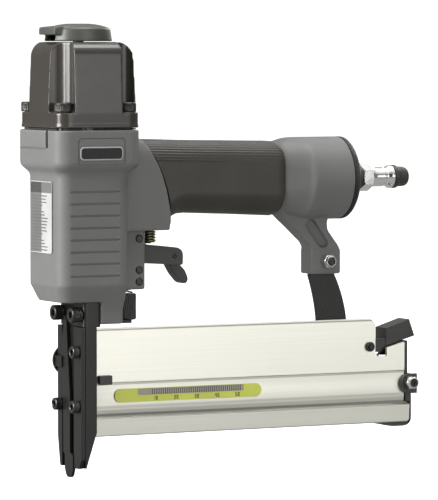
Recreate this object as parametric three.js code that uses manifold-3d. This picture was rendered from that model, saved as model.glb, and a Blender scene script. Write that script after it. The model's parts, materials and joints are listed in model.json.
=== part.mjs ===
// Pneumatic side-loading nailer, built as the assembly of its separate pieces.
// Millimetres. X runs from the nose back to the air plug, Z is up and Y is the width. The origin is
// the centre of the contact tip's face. The numbers below are written from the cylinder's axis,
// which stands TIP_OFFSET behind that face, and add() moves every piece by it.

import * as THREE from 'three';
import { mergeVertices } from 'three/addons/utils/BufferGeometryUtils.js';
import Module from 'manifold-3d';

const wasm = await Module();
wasm.setup();

// ---------------------------------------------------------------- driving dimensions

const TIP_OFFSET = 5.5;
const GAP = 0.3; // clearance between pieces that touch

const seamZ = 193.8; // top face of the body casting
const cap = {
  front: -24.5, rear: 26.1, halfWidth: 28.2, radius: 8, floorZ: 203.4, shoulderZ: 235.9, shoulder: 6.5,
};
const block = { front: -25.6, rear: 26.4, halfWidth: 28.6, radius: 8, bottomZ: 173.3 };
const engine = {
  front: -21.7, rear: 21.6, halfWidth: 22.9, radius: 7, topZ: 168.8, chamferZ: 107.6, bottomZ: 98.4,
};
const footHalf = engine.halfWidth - 4.6;
const bore = { radius: 19.6, floorZ: 103 };
const liner = { outer: 19.2, inner: 16.8, bottomZ: 104.2, topZ: 199.5 };
const piston = { height: 11, topZ: 199.2 };
const capBolt = { x: 19.5, y: 22, head: 5, shank: 3, length: 27 };
const deflector = { radius: 18.8, bottomZ: 242.8, topZ: 252.9, wall: 2.4 };

const spine = { rear: 34.8, halfWidth: 13, bottomZ: 104.4, slot: 8.4 };
const lipZ = 137.4; // underside of the handle root
const triggerPivot = { x: 31.2, z: 132.9 };
const valve = { x: 43, stem: 1.9, spring: 4.4 };

const grip = { front: 30, rear: 123.4, halfWidth: 16.5, core: 13 };
const bulge = { axisZ: 164.6, radius: 23.7, rear: 163.3 };
const plugX = 178; // front of the air plug's hexagon
const hanger = { front: 143.7, rear: 162.8, halfWidth: 6.7, bottomZ: 109.6, boltX: 154, boltZ: 117 };

const noseBolt = { y: 11.6, z: 91.4 };
const nose = { halfWidth: 15.5, front: -3, rear: 3.8, topZ: 98.1, flangeZ: 84.8, tipZ: 5.2 };
const plate = { front: -5.9, recess: -4.2 };
const yoke = { front: -6.3, back: -4.7, thickness: 1.8 };
const wheel = { x: 30, radius: 5, bottomZ: 87, topZ: 101.6 };
const guidePinZ = [108.8, 115.4];

const magazine = { bottomZ: 22.6, topZ: 83.2, nearY: -10, sheet: 1.8, front: 6.2, rear: 203.3, notch: 184 };
const rail = { nearY: 1.8, farY: 3.6, bottomZ: 25, topZ: 82, rear: 198 };
const pusherRod = { y: -3.5, z: 50, radius: 1.8 };
const latchPivot = { x: 180, z: 67 };
const endBolt = { x: 205.3, z: 45.6 };

// ---------------------------------------------------------------- finishes

function finish(color, roughness, metalness) {
  return () => new THREE.MeshStandardMaterial({ color, roughness, metalness });
}

const greyPaint = finish(0x72726f, 0.5, 0.25);
const darkPaint = finish(0x5a5651, 0.35, 0.3);
const blackSteel = finish(0x33332f, 0.4, 0.7);
const brightSteel = finish(0xb9b9b4, 0.25, 0.95);
const chrome = finish(0xe2e2de, 0.1, 1);
const brass = finish(0xb59a4a, 0.3, 0.9);
const aluminium = finish(0xdbdacd, 0.35, 0.85);
const rubber = finish(0x3f3b35, 0.8, 0);
const plastic = finish(0x2e2d29, 0.55, 0);
const triggerPlastic = finish(0x42413c, 0.5, 0);
const gasketGrey = finish(0x1d1d1b, 0.85, 0);
const labelGreen = finish(0xc3cd55, 0.6, 0);
const labelPale = finish(0xcfcfcb, 0.6, 0);
const badgeBlack = finish(0x121212, 0.35, 0);

// ---------------------------------------------------------------- solid tools

// Turns a closed three.js geometry into a solid that can be joined and cut.
function solid(geometry) {
  const bare = geometry.index ? geometry.toNonIndexed() : geometry.clone();
  bare.deleteAttribute('normal');
  bare.deleteAttribute('uv');
  const merged = mergeVertices(bare, 1e-4);
  const corners = merged.index.array;
  const faces = [];
  for (let i = 0; i < corners.length; i += 3) {
    const [a, b, c] = corners.slice(i, i + 3);
    if (a !== b && b !== c && a !== c) faces.push(a, b, c);
  }
  return new wasm.Manifold(new wasm.Mesh({
    numProp: 3,
    vertProperties: new Float32Array(merged.attributes.position.array),
    triVerts: new Uint32Array(faces),
  }));
}

const alongX = new THREE.Matrix4().set(0, 0, 1, 0, 1, 0, 0, 0, 0, 1, 0, 0, 0, 0, 0, 1);
const alongY = new THREE.Matrix4().makeRotationX(Math.PI / 2);

function box(x0, x1, y0, y1, z0, z1) {
  const geometry = new THREE.BoxGeometry(x1 - x0, y1 - y0, z1 - z0);
  return solid(geometry.translate((x0 + x1) / 2, (y0 + y1) / 2, (z0 + z1) / 2));
}

function extrude(outline, depth) {
  const shape = outline instanceof THREE.Shape ? outline
    : new THREE.Shape(outline.map(([a, b]) => new THREE.Vector2(a, b)));
  return new THREE.ExtrudeGeometry(shape, { depth, bevelEnabled: false, curveSegments: 6 });
}

// Outline in (x, y), extruded upwards.
const prismZ = (outline, z0, z1) => solid(extrude(outline, z1 - z0).translate(0, 0, z0));
// Outline in (x, z), extruded across the width.
const prismY = (outline, y0, y1) => (
  solid(extrude(outline, y1 - y0).applyMatrix4(alongY).translate(0, y1, 0)));
// Outline in (y, z), extruded from front to rear.
const prismX = (outline, x0, x1) => (
  solid(extrude(outline, x1 - x0).applyMatrix4(alongX).translate(x0, 0, 0)));

function lathe(profile, segments) {
  return new THREE.LatheGeometry(profile.map(([r, h]) => new THREE.Vector2(r, h)), segments);
}

// Profile in (radius, height), counter-clockwise, turned about a vertical axis or one along X.
const turnZ = (x, y, profile, segments = 20) => (
  solid(lathe(profile, segments).applyMatrix4(alongY).translate(x, y, 0)));
const turnX = (y, z, profile, segments = 24) => (
  solid(lathe(profile, segments).applyMatrix4(alongY).applyMatrix4(alongX).translate(0, y, z)));

const barProfile = (radius, from, to) => [[0, from], [radius, from], [radius, to], [0, to]];
const ringProfile = (inner, outer, from, to) => (
  [[inner, from], [outer, from], [outer, to], [inner, to], [inner, from]]);
const barZ = (x, y, radius, z0, z1, segments = 12) => turnZ(x, y, barProfile(radius, z0, z1), segments);
const barX = (y, z, radius, x0, x1, segments = 12) => turnX(y, z, barProfile(radius, x0, x1), segments);
const barY = (x, z, radius, y0, y1, segments = 12) => (
  solid(lathe(barProfile(radius, -y1, -y0), segments).rotateX(Math.PI).translate(x, 0, z)));

// The corner points of a rectangle with rounded corners, in order round it.
function roundedRing(u0, u1, v0, v1, radius, steps = 4) {
  const centres = [
    [u1 - radius, v1 - radius],
    [u0 + radius, v1 - radius],
    [u0 + radius, v0 + radius],
    [u1 - radius, v0 + radius],
  ];
  const ring = [];
  centres.forEach(([u, v], quarter) => {
    for (let step = 0; step <= steps; step += 1) {
      const angle = (quarter + step / steps) * Math.PI / 2;
      ring.push([u + radius * Math.cos(angle), v + radius * Math.sin(angle)]);
    }
  });
  return ring;
}

// A closed skin over a stack of rounded rectangles, each { at, u: [low, high], v: [low, high], r }.
function loft(sections) {
  const rings = sections.map((s) => roundedRing(s.u[0], s.u[1], s.v[0], s.v[1], s.r));
  const count = rings[0].length;
  const positions = [];
  const at = (ring, i) => [rings[ring][i % count][0], rings[ring][i % count][1], sections[ring].at];
  const face = (...points) => positions.push(...points.flat());
  for (let i = 0; i < count; i += 1) {
    for (let ring = 0; ring + 1 < rings.length; ring += 1) {
      face(at(ring, i), at(ring, i + 1), at(ring + 1, i + 1));
      face(at(ring, i), at(ring + 1, i + 1), at(ring + 1, i));
    }
  }
  const last = rings.length - 1;
  for (let i = 1; i + 1 < count; i += 1) {
    face(at(0, 0), at(0, i + 1), at(0, i));
    face(at(last, 0), at(last, i), at(last, i + 1));
  }
  const geometry = new THREE.BufferGeometry();
  geometry.setAttribute('position', new THREE.Float32BufferAttribute(positions, 3));
  return geometry;
}

const loftZ = (sections) => solid(loft(sections));
// Along X, u is the width and v the height.
const loftX = (sections) => solid(loft(sections).applyMatrix4(alongX));

class Helix extends THREE.Curve {
  constructor(radius, length, turns) {
    super();
    Object.assign(this, { radius, length, turns });
  }

  getPoint(t) {
    const angle = t * this.turns * Math.PI * 2;
    return new THREE.Vector3(this.radius * Math.cos(angle), this.radius * Math.sin(angle), t * this.length);
  }
}

// A coil spring that stands on z = 0.
function coil(radius, wire, length, turns) {
  const stepsPerTurn = 6;
  const section = new THREE.Shape().absarc(0, 0, wire, 0, Math.PI * 2);
  const geometry = new THREE.ExtrudeGeometry(section, {
    steps: Math.round(turns * stepsPerTurn),
    curveSegments: 2,
    bevelEnabled: false,
    extrudePath: new Helix(radius, length - 2 * wire, turns),
  });
  return solid(geometry.translate(0, 0, wire));
}

const nailer = new THREE.Group();

// Adds one piece to the nailer under its own name.
function add(name, body, material, x = 0, y = 0, z = 0) {
  const mesh = body.getMesh();
  const geometry = new THREE.BufferGeometry();
  geometry.setAttribute('position', new THREE.BufferAttribute(new Float32Array(mesh.vertProperties), 3));
  geometry.setIndex(new THREE.BufferAttribute(new Uint32Array(mesh.triVerts), 1));
  const piece = new THREE.Mesh(geometry, material());
  piece.name = name;
  piece.position.set(x + TIP_OFFSET, y, z);
  nailer.add(piece);
}

// ---------------------------------------------------------------- fasteners

// A socket head cap screw with its head's seat at h = 0 and its shank below.
function capScrew(head, headHeight, shank, length) {
  const body = turnZ(0, 0, [[0, -length], [shank, -length], [shank, 0], [head, 0], [head, headHeight - 0.5],
    [head - 0.5, headHeight], [0, headHeight]], 14);
  const socket = barZ(0, 0, shank * 0.85, headHeight * 0.45, headHeight + 1, 6);
  return body.subtract(socket);
}

const turned = (body, rx, ry, rz) => body.rotate([rx, ry, rz]);

// ---------------------------------------------------------------- cylinder cap and exhaust

// The plan of one corner pocket, wider at the front corners than at the rear ones.
function cornerPocket(side, end) {
  const x = end === 'front' ? -14.7 : 14.3;
  const y = side * (end === 'front' ? 13.2 : 20);
  const outerX = end === 'front' ? -40 : 40;
  const outerY = side * 40;
  const above = 260;
  const bend = end === 'front' ? 7 : 5;
  const outline = [[outerX, y]];
  for (let step = 0; step <= 4; step += 1) {
    const turn = step / 4 * Math.PI / 2;
    outline.push([
      x + Math.sign(outerX) * bend * (1 - Math.sin(turn)), y + side * bend * (1 - Math.cos(turn)),
    ]);
  }
  outline.push([x, outerY], [outerX, outerY]);
  return [
    prismZ(outline, cap.floorZ, above),
    barZ(Math.sign(outerX) * capBolt.x, side * capBolt.y, 5.6, cap.floorZ, above, 14),
  ];
}

function capShell() {
  const bottom = seamZ + 1.2;
  const inset = (amount) => ({
    u: [cap.front + amount, cap.rear - amount],
    v: [-cap.halfWidth + amount, cap.halfWidth - amount],
  });
  const sections = [
    { at: bottom, ...inset(0), r: cap.radius },
    { at: cap.floorZ, ...inset(0), r: cap.radius },
    { at: cap.shoulderZ, ...inset(1.4), r: cap.radius },
  ];
  for (const angle of [30, 60, 90]) {
    const turn = THREE.MathUtils.degToRad(angle);
    const at = cap.shoulderZ + cap.shoulder * Math.sin(turn);
    sections.push({ at, ...inset(1.4 + cap.shoulder * (1 - Math.cos(turn))), r: cap.radius - 1 });
  }
  let shell = loftZ(sections);
  for (const side of [-1, 1]) {
    for (const end of ['front', 'rear']) {
      cornerPocket(side, end).forEach((cut) => { shell = shell.subtract(cut); });
      const x = end === 'front' ? -capBolt.x : capBolt.x;
      shell = shell.subtract(barZ(x, side * capBolt.y, capBolt.shank + GAP, 190, cap.floorZ + 1));
    }
  }
  const cavity = turnZ(0, 0, [
    [0, 190], [bore.radius, 190], [bore.radius, 203], [14.2, 206], [14.2, 233], [0, 236],
  ]);
  const ports = [-9, 9].map((y) => barZ(-5, y, 2.6, 228, 250, 10));
  return shell.subtract(cavity).subtract(ports[0]).subtract(ports[1]).subtract(barZ(0, 0, 3.3, 230, 250));
}

function exhaustDeflector() {
  const { radius, bottomZ, topZ, wall } = deflector;
  const dome = turnZ(0, 0, [
    [0, bottomZ], [radius, bottomZ], [radius - 1.2, topZ - 3.2], [radius - 3.2, topZ - 1.4],
    [10, topZ - 0.3], [0, topZ],
  ], 28);
  const visor = box(-19.4, -8, -10.4, 10.4, 246.2, 251);
  const hollow = turnZ(0, 0, [
    [5.4, bottomZ - 1], [radius - wall, bottomZ - 1], [radius - wall - 0.6, topZ - 3.6],
    [5.4, topZ - 3.4], [5.4, bottomZ - 1],
  ]);
  const mouth = box(-25, -8, -6.6, 6.6, bottomZ - 1, 246);
  const seat = turnZ(0, 0, [[0, bottomZ - 1], [3.3, bottomZ - 1], [3.3, topZ - 3.2], [5.7, topZ - 0.9],
    [5.7, topZ + 1], [0, topZ + 1]]);
  return dome.add(visor).subtract(hollow).subtract(mouth).subtract(seat);
}

function deflectorScrew() {
  const top = deflector.topZ - 0.4;
  const profile = [[0, 233.5], [3, 233.5], [3, top - 2.8], [5.3, top - 0.5], [5.3, top], [0, top]];
  const screw = turnZ(0, 0, profile, 24);
  return screw.subtract(barZ(0, 0, 2, top - 2, top + 1, 6));
}

function capGasket() {
  const margin = 0.5;
  const outline = roundedRing(cap.front + margin, cap.rear - margin, -cap.halfWidth + margin,
    cap.halfWidth - margin, cap.radius);
  let gasket = prismZ(outline, seamZ + GAP, seamZ + 0.9)
    .subtract(barZ(0, 0, bore.radius, seamZ, seamZ + 2, 20));
  for (const x of [-capBolt.x, capBolt.x]) {
    for (const y of [-capBolt.y, capBolt.y]) {
      gasket = gasket.subtract(barZ(x, y, capBolt.shank + 0.6, seamZ, seamZ + 2));
    }
  }
  return gasket;
}

function addTop() {
  add('exhaust_deflector', exhaustDeflector(), plastic);
  add('deflector_screw', deflectorScrew(), blackSteel);
  add('cylinder_cap', capShell(), darkPaint);
  add('cap_gasket', capGasket(), gasketGrey);
  const bolt = capScrew(capBolt.head, 5.4, capBolt.shank, capBolt.length);
  let number = 1;
  for (const x of [-capBolt.x, capBolt.x]) {
    for (const y of [-capBolt.y, capBolt.y]) {
      add(`cap_bolt_${number}`, bolt, blackSteel, x, y, cap.floorZ + GAP);
      number += 1;
    }
  }
}

// ---------------------------------------------------------------- air engine

function addEngine() {
  const headValve = turnZ(0, 0, [
    [6, 206.6], [13.8, 206.6], [13.8, 216], [8, 218], [8, 221], [6, 221], [6, 206.6],
  ]);
  const { inner, outer, bottomZ, topZ } = liner;
  const collar = { bottomZ: 188, topZ: 192, height: 0.9 };
  const plain = outer - collar.height;
  const tube = turnZ(0, 0, [
    [inner, bottomZ], [plain, bottomZ], [plain, collar.bottomZ], [outer, collar.bottomZ],
    [outer, collar.topZ], [plain, collar.topZ], [plain, topZ], [inner, topZ], [inner, bottomZ],
  ]);
  const crown = piston.topZ;
  const skirt = crown - piston.height;
  const drivePiston = turnZ(0, 0, [[0, skirt], [16.2, skirt], [16.2, crown - 6.6], [14.6, crown - 6.6],
    [14.6, crown - 3.6], [16.2, crown - 3.6], [16.2, crown], [6, crown], [5, crown - 2], [0, crown - 2]]);
  const bumper = turnZ(0, 0, [
    [6.5, 104.4], [16.2, 104.4], [16.5, 112], [14.5, 118.5], [6.5, 118.5], [6.5, 104.4],
  ]);
  add('head_valve_piston', headValve, aluminium);
  add('head_valve_spring', coil(10.5, 0.8, 14, 4), brightSteel, 0, 0, 218.6);
  add('cylinder_liner', tube, brightSteel);
  add('liner_oring', turnZ(0, 0, ringProfile(outer - 0.6, outer, 184.2, 187.4)), gasketGrey);
  add('drive_piston', drivePiston, aluminium);
  add('piston_oring', turnZ(0, 0, ringProfile(14.9, 16.5, crown - 6.3, crown - 3.9)), gasketGrey);
  add('driver_blade', box(-2.3, -1.1, -2.8, 2.8, 75, skirt - GAP), brightSteel);
  add('bumper', bumper, rubber);
}

// ---------------------------------------------------------------- body casting

// Side outline of the handle root: the curved seam that the rubber sleeve meets.
function rootOutline(offset = 0) {
  const seam = [[48.3, lipZ], [49.4, 143], [48.3, 153], [46.2, 161.5], [42, 172], [37.5, 180], [32, 188.6]];
  return [[10, lipZ], ...seam.map(([x, z]) => [x + offset, z]), [27.4, 192], [26.6, seamZ], [10, seamZ]];
}

function engineHousing() {
  const full = { u: [engine.front, engine.rear], v: [-engine.halfWidth, engine.halfWidth] };
  const wide = { u: [block.front, block.rear], v: [-block.halfWidth, block.halfWidth] };
  const foot = { u: [engine.front + 3.6, engine.rear], v: [-footHalf, footHalf] };
  return loftZ([
    { at: engine.bottomZ, ...foot, r: engine.radius - 1 },
    { at: engine.chamferZ, ...full, r: engine.radius },
    { at: engine.topZ, ...full, r: engine.radius },
    { at: block.bottomZ, ...wide, r: block.radius },
    { at: seamZ, ...wide, r: block.radius },
  ]);
}

function coolingRibs(housing) {
  const pitch = 6.65;
  let ribbed = housing;
  for (let index = 0; index < 8; index += 1) {
    const z = 112.6 + index * pitch;
    for (const side of [-1, 1]) {
      const floor = side * (engine.halfWidth - 0.7);
      const outside = side * (engine.halfWidth + 1);
      const groove = box(-15.5, 14.5, Math.min(floor, outside), Math.max(floor, outside), z, z + 1.2);
      ribbed = ribbed.subtract(groove);
    }
  }
  return ribbed;
}

function handleRoot() {
  const sections = [
    { at: 8, u: [-20, 20], v: [120, 197], r: 12 },
    { at: 30, u: [-18.6, 18.6], v: [120, 190.5], r: 12 },
    { at: 52, u: [-16.5, 16.5], v: [120, 188], r: 12 },
  ];
  return loftX(sections).intersect(prismY(rootOutline(), -30, 30));
}

function rearBulge() {
  const { axisZ, radius } = bulge;
  const round = (at) => ({ at, u: [-radius, radius], v: [axisZ - radius, axisZ + radius], r: radius - 0.1 });
  return loftX([
    { at: 118, u: [-12.8, 12.8], v: [150, 183.2], r: 10 },
    { at: 122, u: [-15, 15], v: [146.6, 185.4], r: 13.4 },
    { at: 127, u: [-17.4, 17.4], v: [144, 187.4], r: 16.6 },
    { at: 133.5, u: [-19.6, 19.6], v: [141.9, 188.2], r: 19.3 },
    { at: 137, u: [-22.6, 22.6], v: [141, 188.3], r: 22.4 },
    round(138.6),
    round(bulge.rear),
  ]);
}

function hangerArm() {
  const { front, rear, halfWidth, bottomZ } = hanger;
  const outline = [[124, 147], [front, 126.3], [front, bottomZ], [rear - 3, bottomZ], [rear, bottomZ + 1],
    [rear, 124.1], [154.1, 135.8], [154.1, 144], [140, 152], [124, 152]];
  const slot = box(front + 1.2, rear + 1, -1.8, 1.8, bottomZ - 1, 122.5);
  return prismY(outline, -halfWidth, halfWidth).subtract(slot);
}

function bodyHousing() {
  const spineBlock = box(12, spine.rear, -spine.halfWidth, spine.halfWidth, spine.bottomZ, 150);
  const lobeFoot = { u: [5.9, 20], v: [-15.9, 15.9] };
  const noseLobe = loftZ([
    { at: 85.8, ...lobeFoot, r: 1.5 },
    { at: 92.6, ...lobeFoot, r: 1.5 },
    { at: engine.bottomZ + 1, u: [5.9, 19.4], v: [-footHalf, footHalf], r: 1.5 },
  ]);
  const core = loftX([
    { at: 26, u: [-grip.core, grip.core], v: [150, 183.6], r: 10 },
    { at: 122, u: [-grip.core, grip.core], v: [150, 183.2], r: 10 },
  ]);
  const frontPad = box(block.front - 0.8, block.front + 1, -12.6, 20.4, 184, seamZ);
  let body = coolingRibs(engineHousing());
  const parts = [spineBlock, noseLobe, handleRoot(), core, rearBulge(), hangerArm(), frontPad];
  for (const part of parts) body = body.add(part);

  const cylinder = barZ(0, 0, bore.radius, bore.floorZ, seamZ + 1, 20);
  const airway = turnX(0, 166, [[0, 14], [9, 14], [9, 120], [19, 146], [21, 150], [21, bulge.rear + 1],
    [0, bulge.rear + 1]], 12);
  const cuts = [
    cylinder,
    airway,
    barZ(-1.7, 0, 5, 90, bore.floorZ + 1),
    box(21.8, spine.rear + 1, -spine.slot, spine.slot, engine.bottomZ - 1, lipZ),
    barZ(valve.x, 0, 4.3, lipZ - 1, 160, 20),
    barY(triggerPivot.x, triggerPivot.z, 2.3, -20, 20, 12),
    ...guidePinZ.map((z) => barY(triggerPivot.x, z, 2.3, -20, 20, 12)),
    barY(hanger.boltX, hanger.boltZ, 2.4, -20, 20),
    barX(noseBolt.y, noseBolt.z, 2.8, 4, 18.5),
    barX(-noseBolt.y, noseBolt.z, 2.8, 4, 18.5),
    barZ(11.5, 0, 1.9, 84, 93),
  ];
  for (const x of [-capBolt.x, capBolt.x]) {
    for (const y of [-capBolt.y, capBolt.y]) cuts.push(barZ(x, y, capBolt.shank + GAP, 174, seamZ + 1));
  }
  for (const cut of cuts) body = body.subtract(cut);
  return body;
}

function gripSleeve() {
  const { halfWidth } = grip;
  const outer = loftX([
    { at: grip.front, u: [-halfWidth, halfWidth], v: [142.2, 188.2], r: 12 },
    { at: 50.5, u: [-halfWidth, halfWidth], v: [142.4, 187.7], r: 12 },
    { at: 55, u: [-halfWidth, halfWidth], v: [145.4, 187.5], r: 12 },
    { at: 62, u: [-halfWidth, halfWidth], v: [146.5, 187.2], r: 12 },
    { at: 118, u: [-halfWidth, halfWidth], v: [143.7, 186.4], r: 13 },
    { at: 121.6, u: [-halfWidth + 0.7, halfWidth - 0.7], v: [145, 185.8], r: 13 },
    { at: grip.rear, u: [-halfWidth + 1.6, halfWidth - 1.6], v: [147.6, 184.6], r: 12.8 },
  ]);
  const tunnel = loftX([
    { at: 20, u: [-grip.core - GAP, grip.core + GAP], v: [149.6, 184], r: 10 },
    { at: 117, u: [-grip.core - GAP, grip.core + GAP], v: [149.6, 183.6], r: 10 },
    { at: 121.4, u: [-15.2, 15.2], v: [146.2, 185.8], r: 13.4 },
    { at: 130, u: [-20.5, 20.5], v: [142, 190], r: 13.4 },
  ]);
  return outer.subtract(tunnel).subtract(prismY(rootOutline(0.35), -40, 40));
}

function addBody() {
  add('body_housing', bodyHousing(), greyPaint);
  add('grip_sleeve', gripSleeve(), rubber);
  const z = bulge.axisZ;
  const rim = bulge.rear;
  add('end_cap_gasket', turnX(0, z, ringProfile(20.6, bulge.radius, rim + GAP, rim + 1.3)), gasketGrey);
  add('end_cap', turnX(0, z, [
    [5.4, rim + 1.6], [bulge.radius, rim + 1.6], [bulge.radius, rim + 2.6], [21, rim + 4.6],
    [8.6, rim + 6.8], [7.4, rim + 8.4], [7.4, plugX - GAP], [5.4, plugX - GAP], [5.4, rim + 1.6],
  ]), plastic);
  const hexagon = turnX(0, z, barProfile(8.1, plugX, plugX + 6.8), 6);
  const shank = turnX(0, z, [
    [0, rim + 4], [5, rim + 4], [5, plugX + 6], [5.6, plugX + 6], [5.6, plugX + 17.2], [6.6, plugX + 19.8],
    [6.6, plugX + 21.2], [4, plugX + 21.2], [4, plugX + 28.4], [0, plugX + 28.4],
  ], 18);
  add('air_plug', hexagon.add(shank).subtract(barX(0, z, 2.6, rim, plugX + 31)), chrome);
  add('plug_cover', turnX(0, z, [
    [4.3, plugX + 21.5], [6.7, plugX + 21.5], [6.7, plugX + 24], [5.8, plugX + 24.6],
    [5.6, plugX + 29.8], [4.4, plugX + 31.4], [0, plugX + 31.4], [0, plugX + 29.4],
    [4.3, plugX + 29.4], [4.3, plugX + 21.5],
  ], 18), rubber);
}

// ---------------------------------------------------------------- trigger group

function triggerBar() {
  const { x, z } = triggerPivot;
  const outline = [[x - 3.8, z - 1.5], [x + 2, 119], [37.4, 118.6], [60.2, 117.2], [60.9, 118], [61, 123.6],
    [60, 125.8], [57.6, 127.1], [38, 129.2], [x + 4.4, z - 1], [x + 3, z + 3.6], [x - 2, z + 3.6],
    [x - 3.8, z + 1.5]];
  const inner = [[x - 8, 116.8], [x + 4.6, 116.8], [x + 5.4, 121], [53, 120.5], [53, 116], [70, 110],
    [70, 112], [57, 124], [40.5, 126.6], [x + 3.4, 128.4], [x - 8, 128.4]];
  const outer = prismY(outline, -8, 8);
  const throat = prismY([[x - 8, 110], [36, 110], [36, 140], [x - 8, 140]], -5.4, 5.4);
  const channel = prismY(inner, -4.4, 4.4);
  const tongueSlot = box(52, 64, -4.4, 4.4, 112, 124.4);
  return outer.subtract(throat).subtract(channel).subtract(tongueSlot)
    .subtract(barY(x, z, 2.3, -20, 20)).subtract(barY(55.7, 122.2, 1.25, -20, 20));
}

function triggerTongue() {
  const outline = [[53.8, 123.9], [57.4, 123.9], [61, 117.2], [64.2, 114], [66.2, 109.4], [65.6, 107],
    [63.6, 106.3], [61.6, 107.2], [57.4, 112], [54.6, 116.8], [53.6, 120.6]];
  return prismY(outline, -4, 4).subtract(barY(55.7, 122.2, 1.25, -20, 20));
}

function addTrigger() {
  const { x, z } = triggerPivot;
  add('trigger', triggerBar(), triggerPlastic);
  add('trigger_tongue', triggerTongue(), triggerPlastic);
  add('tongue_pin', barY(55.7, 122.2, 0.95, -8, 8, 10), brightSteel);
  add('trigger_pin', barY(x, z, 2, -13.3, 13.3, 12), blackSteel);
  add('guide_pin_lower', barY(x, guidePinZ[0], 2, -13.3, 13.3, 12), blackSteel);
  add('guide_pin_upper', barY(x, guidePinZ[1], 2, -13.3, 13.3, 12), blackSteel);
  add('valve_body', turnZ(valve.x, 0, ringProfile(2.2, 4, lipZ + GAP, 154), 20), brass);
  add('valve_stem', barZ(valve.x, 0, valve.stem, 129.4, 150, 14), blackSteel);
  add('valve_spring', coil(valve.spring - 0.5, 0.5, 7.2, 4.5), brass, valve.x, 0, 129.7);
}

// ---------------------------------------------------------------- nose and contact arm

function noseBody() {
  const { halfWidth, front, rear, topZ, flangeZ, tipZ } = nose;
  const side = [[front, tipZ + 0.6], [front + 0.4, tipZ + 0.6], [rear, 25.6], [rear, 84.9], [front, 84.9]];
  const middle = [[front, tipZ], [2, tipZ], [rear + 1.4, 20], [rear + 1.4, 50], [rear, 52], [rear, 84.9],
    [front, 84.9]];
  const flange = box(-4.4, 5.4, -15.9, 15.9, flangeZ, topZ);
  const pilot = barZ(-1.7, 0, 4.6, topZ - 1, 102.4, 20);
  const channel = box(-2.6, -0.8, -3.1, 3.1, 0, 110);
  const feed = box(-1.5, 12, -1.6, 1.6, 26, 76);
  let body = prismY(side, -halfWidth, halfWidth).add(prismY(middle, -5.4, 5.4)).add(flange).add(pilot);
  body = body.subtract(channel).subtract(feed);
  for (const side of [-1, 1]) {
    body = body.subtract(barX(side * noseBolt.y, noseBolt.z, 2.8, -8, 10));
    body = body.subtract(barX(side * 11.6, 40.2, 2.3, -8, 3));
  }
  return body.subtract(barX(-11.6, 70.6, 2.3, -8, 3));
}

function frontPlate() {
  const { halfWidth } = nose;
  const bottomZ = nose.tipZ + 0.3;
  const outline = [[-halfWidth, 10.4], [-halfWidth + 3, bottomZ], [halfWidth - 3, bottomZ], [halfWidth, 22],
    [halfWidth, 84.4], [-halfWidth, 84.4]];
  let body = prismX(outline, plate.front, nose.front - GAP);
  body = body.subtract(box(plate.front - 1, plate.recess, -6.1, 9.7, 0, 90));
  for (const y of [-11.6, 11.6]) body = body.subtract(barX(y, 40.2, 2.3, -8, 3));
  return body.subtract(barX(-11.6, 70.6, 2.3, -8, 3));
}

// The flat bar that slides in the front plate's recess, with its rounded contact tip.
function contactBar() {
  const bar = [
    [7, 90], [7, 84], [9.3, 76], [9.3, 49], [7.6, 41], [7.4, 14], [5.4, 12.4], [5.4, 4.6], [3.8, 1.4],
    [1.6, 0], [-1.6, 0], [-3.8, 1.4], [-5.4, 4.6], [-5.4, 12.4], [-1.4, 14], [-1.4, 46], [2.8, 84], [2.8, 90],
  ];
  return prismX(bar, yoke.front, yoke.back);
}

// The far-side arm that carries the contact bar's motion back to the trigger.
function contactYoke() {
  const y0 = nose.halfWidth + 2 * GAP + 0.3;
  const y1 = y0 + yoke.thickness;
  const front = yoke.front - 1.7;
  const cheek = prismY([[front, 60], [front + 1.2, 57.4], [-3.6, 56.8], [6, 62], [12, 85], [31.8, 85],
    [31.8, 86.8], [8.4, 86.8], [-1, 72], [front + 1.2, 71], [front, 68.4]], y0, y1);
  const bridge = box(yoke.front - 0.9, yoke.front + 0.2, 7.6, y1, 61, 67);
  const crossbar = box(22.1, 31.8, -2, y1, 85, 86.8);
  const stem = barZ(wheel.x, 0, 2, 86, 100, 14);
  const lift = box(22.1, 24.3, -4, 4, 86, 119.6);
  return contactBar().add(bridge).add(cheek).add(crossbar).add(stem).add(lift);
}

function depthWheel() {
  const { x, radius, bottomZ, topZ } = wheel;
  const teeth = 18;
  const outline = [];
  for (let tooth = 0; tooth < teeth; tooth += 1) {
    const angle = tooth / teeth * Math.PI * 2;
    const half = Math.PI / teeth;
    outline.push([x + radius * Math.cos(angle), radius * Math.sin(angle)]);
    outline.push([x + (radius - 0.5) * Math.cos(angle + half), (radius - 0.5) * Math.sin(angle + half)]);
  }
  const hollow = barZ(x, 0, 4.1, bottomZ + 2, topZ + 1, 16);
  return prismZ(outline, bottomZ, topZ).subtract(barZ(x, 0, 2.3, bottomZ - 1, topZ + 1, 14)).subtract(hollow);
}

function addNose() {
  add('nose_body', noseBody(), blackSteel);
  add('front_plate', frontPlate(), blackSteel);
  add('contact_yoke', contactYoke(), blackSteel);
  add('depth_wheel', depthWheel(), plastic);
  add('yoke_spring', coil(3.1, 0.5, 17.2, 6), brightSteel, wheel.x, 0, 89.3);
  const flangeBolt = turned(capScrew(4.25, 6.2, 2.5, 20), 0, -90, 0);
  const plateScrew = turned(capScrew(3.5, 4, 2, 8), 0, -90, 0);
  add('nose_bolt_left', flangeBolt, blackSteel, -4.4 - GAP, noseBolt.y, noseBolt.z);
  add('nose_bolt_right', flangeBolt, blackSteel, -4.4 - GAP, -noseBolt.y, noseBolt.z);
  add('plate_screw_middle', plateScrew, blackSteel, plate.front - GAP, -11.6, 70.6);
  add('plate_screw_left', plateScrew, blackSteel, plate.front - GAP, 11.6, 40.2);
  add('plate_screw_right', plateScrew, blackSteel, plate.front - GAP, -11.6, 40.2);
  add('nose_dowel', barZ(11.5, 0, 1.6, 83.2, 92.6, 12), blackSteel);
}

// ---------------------------------------------------------------- magazine

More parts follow.
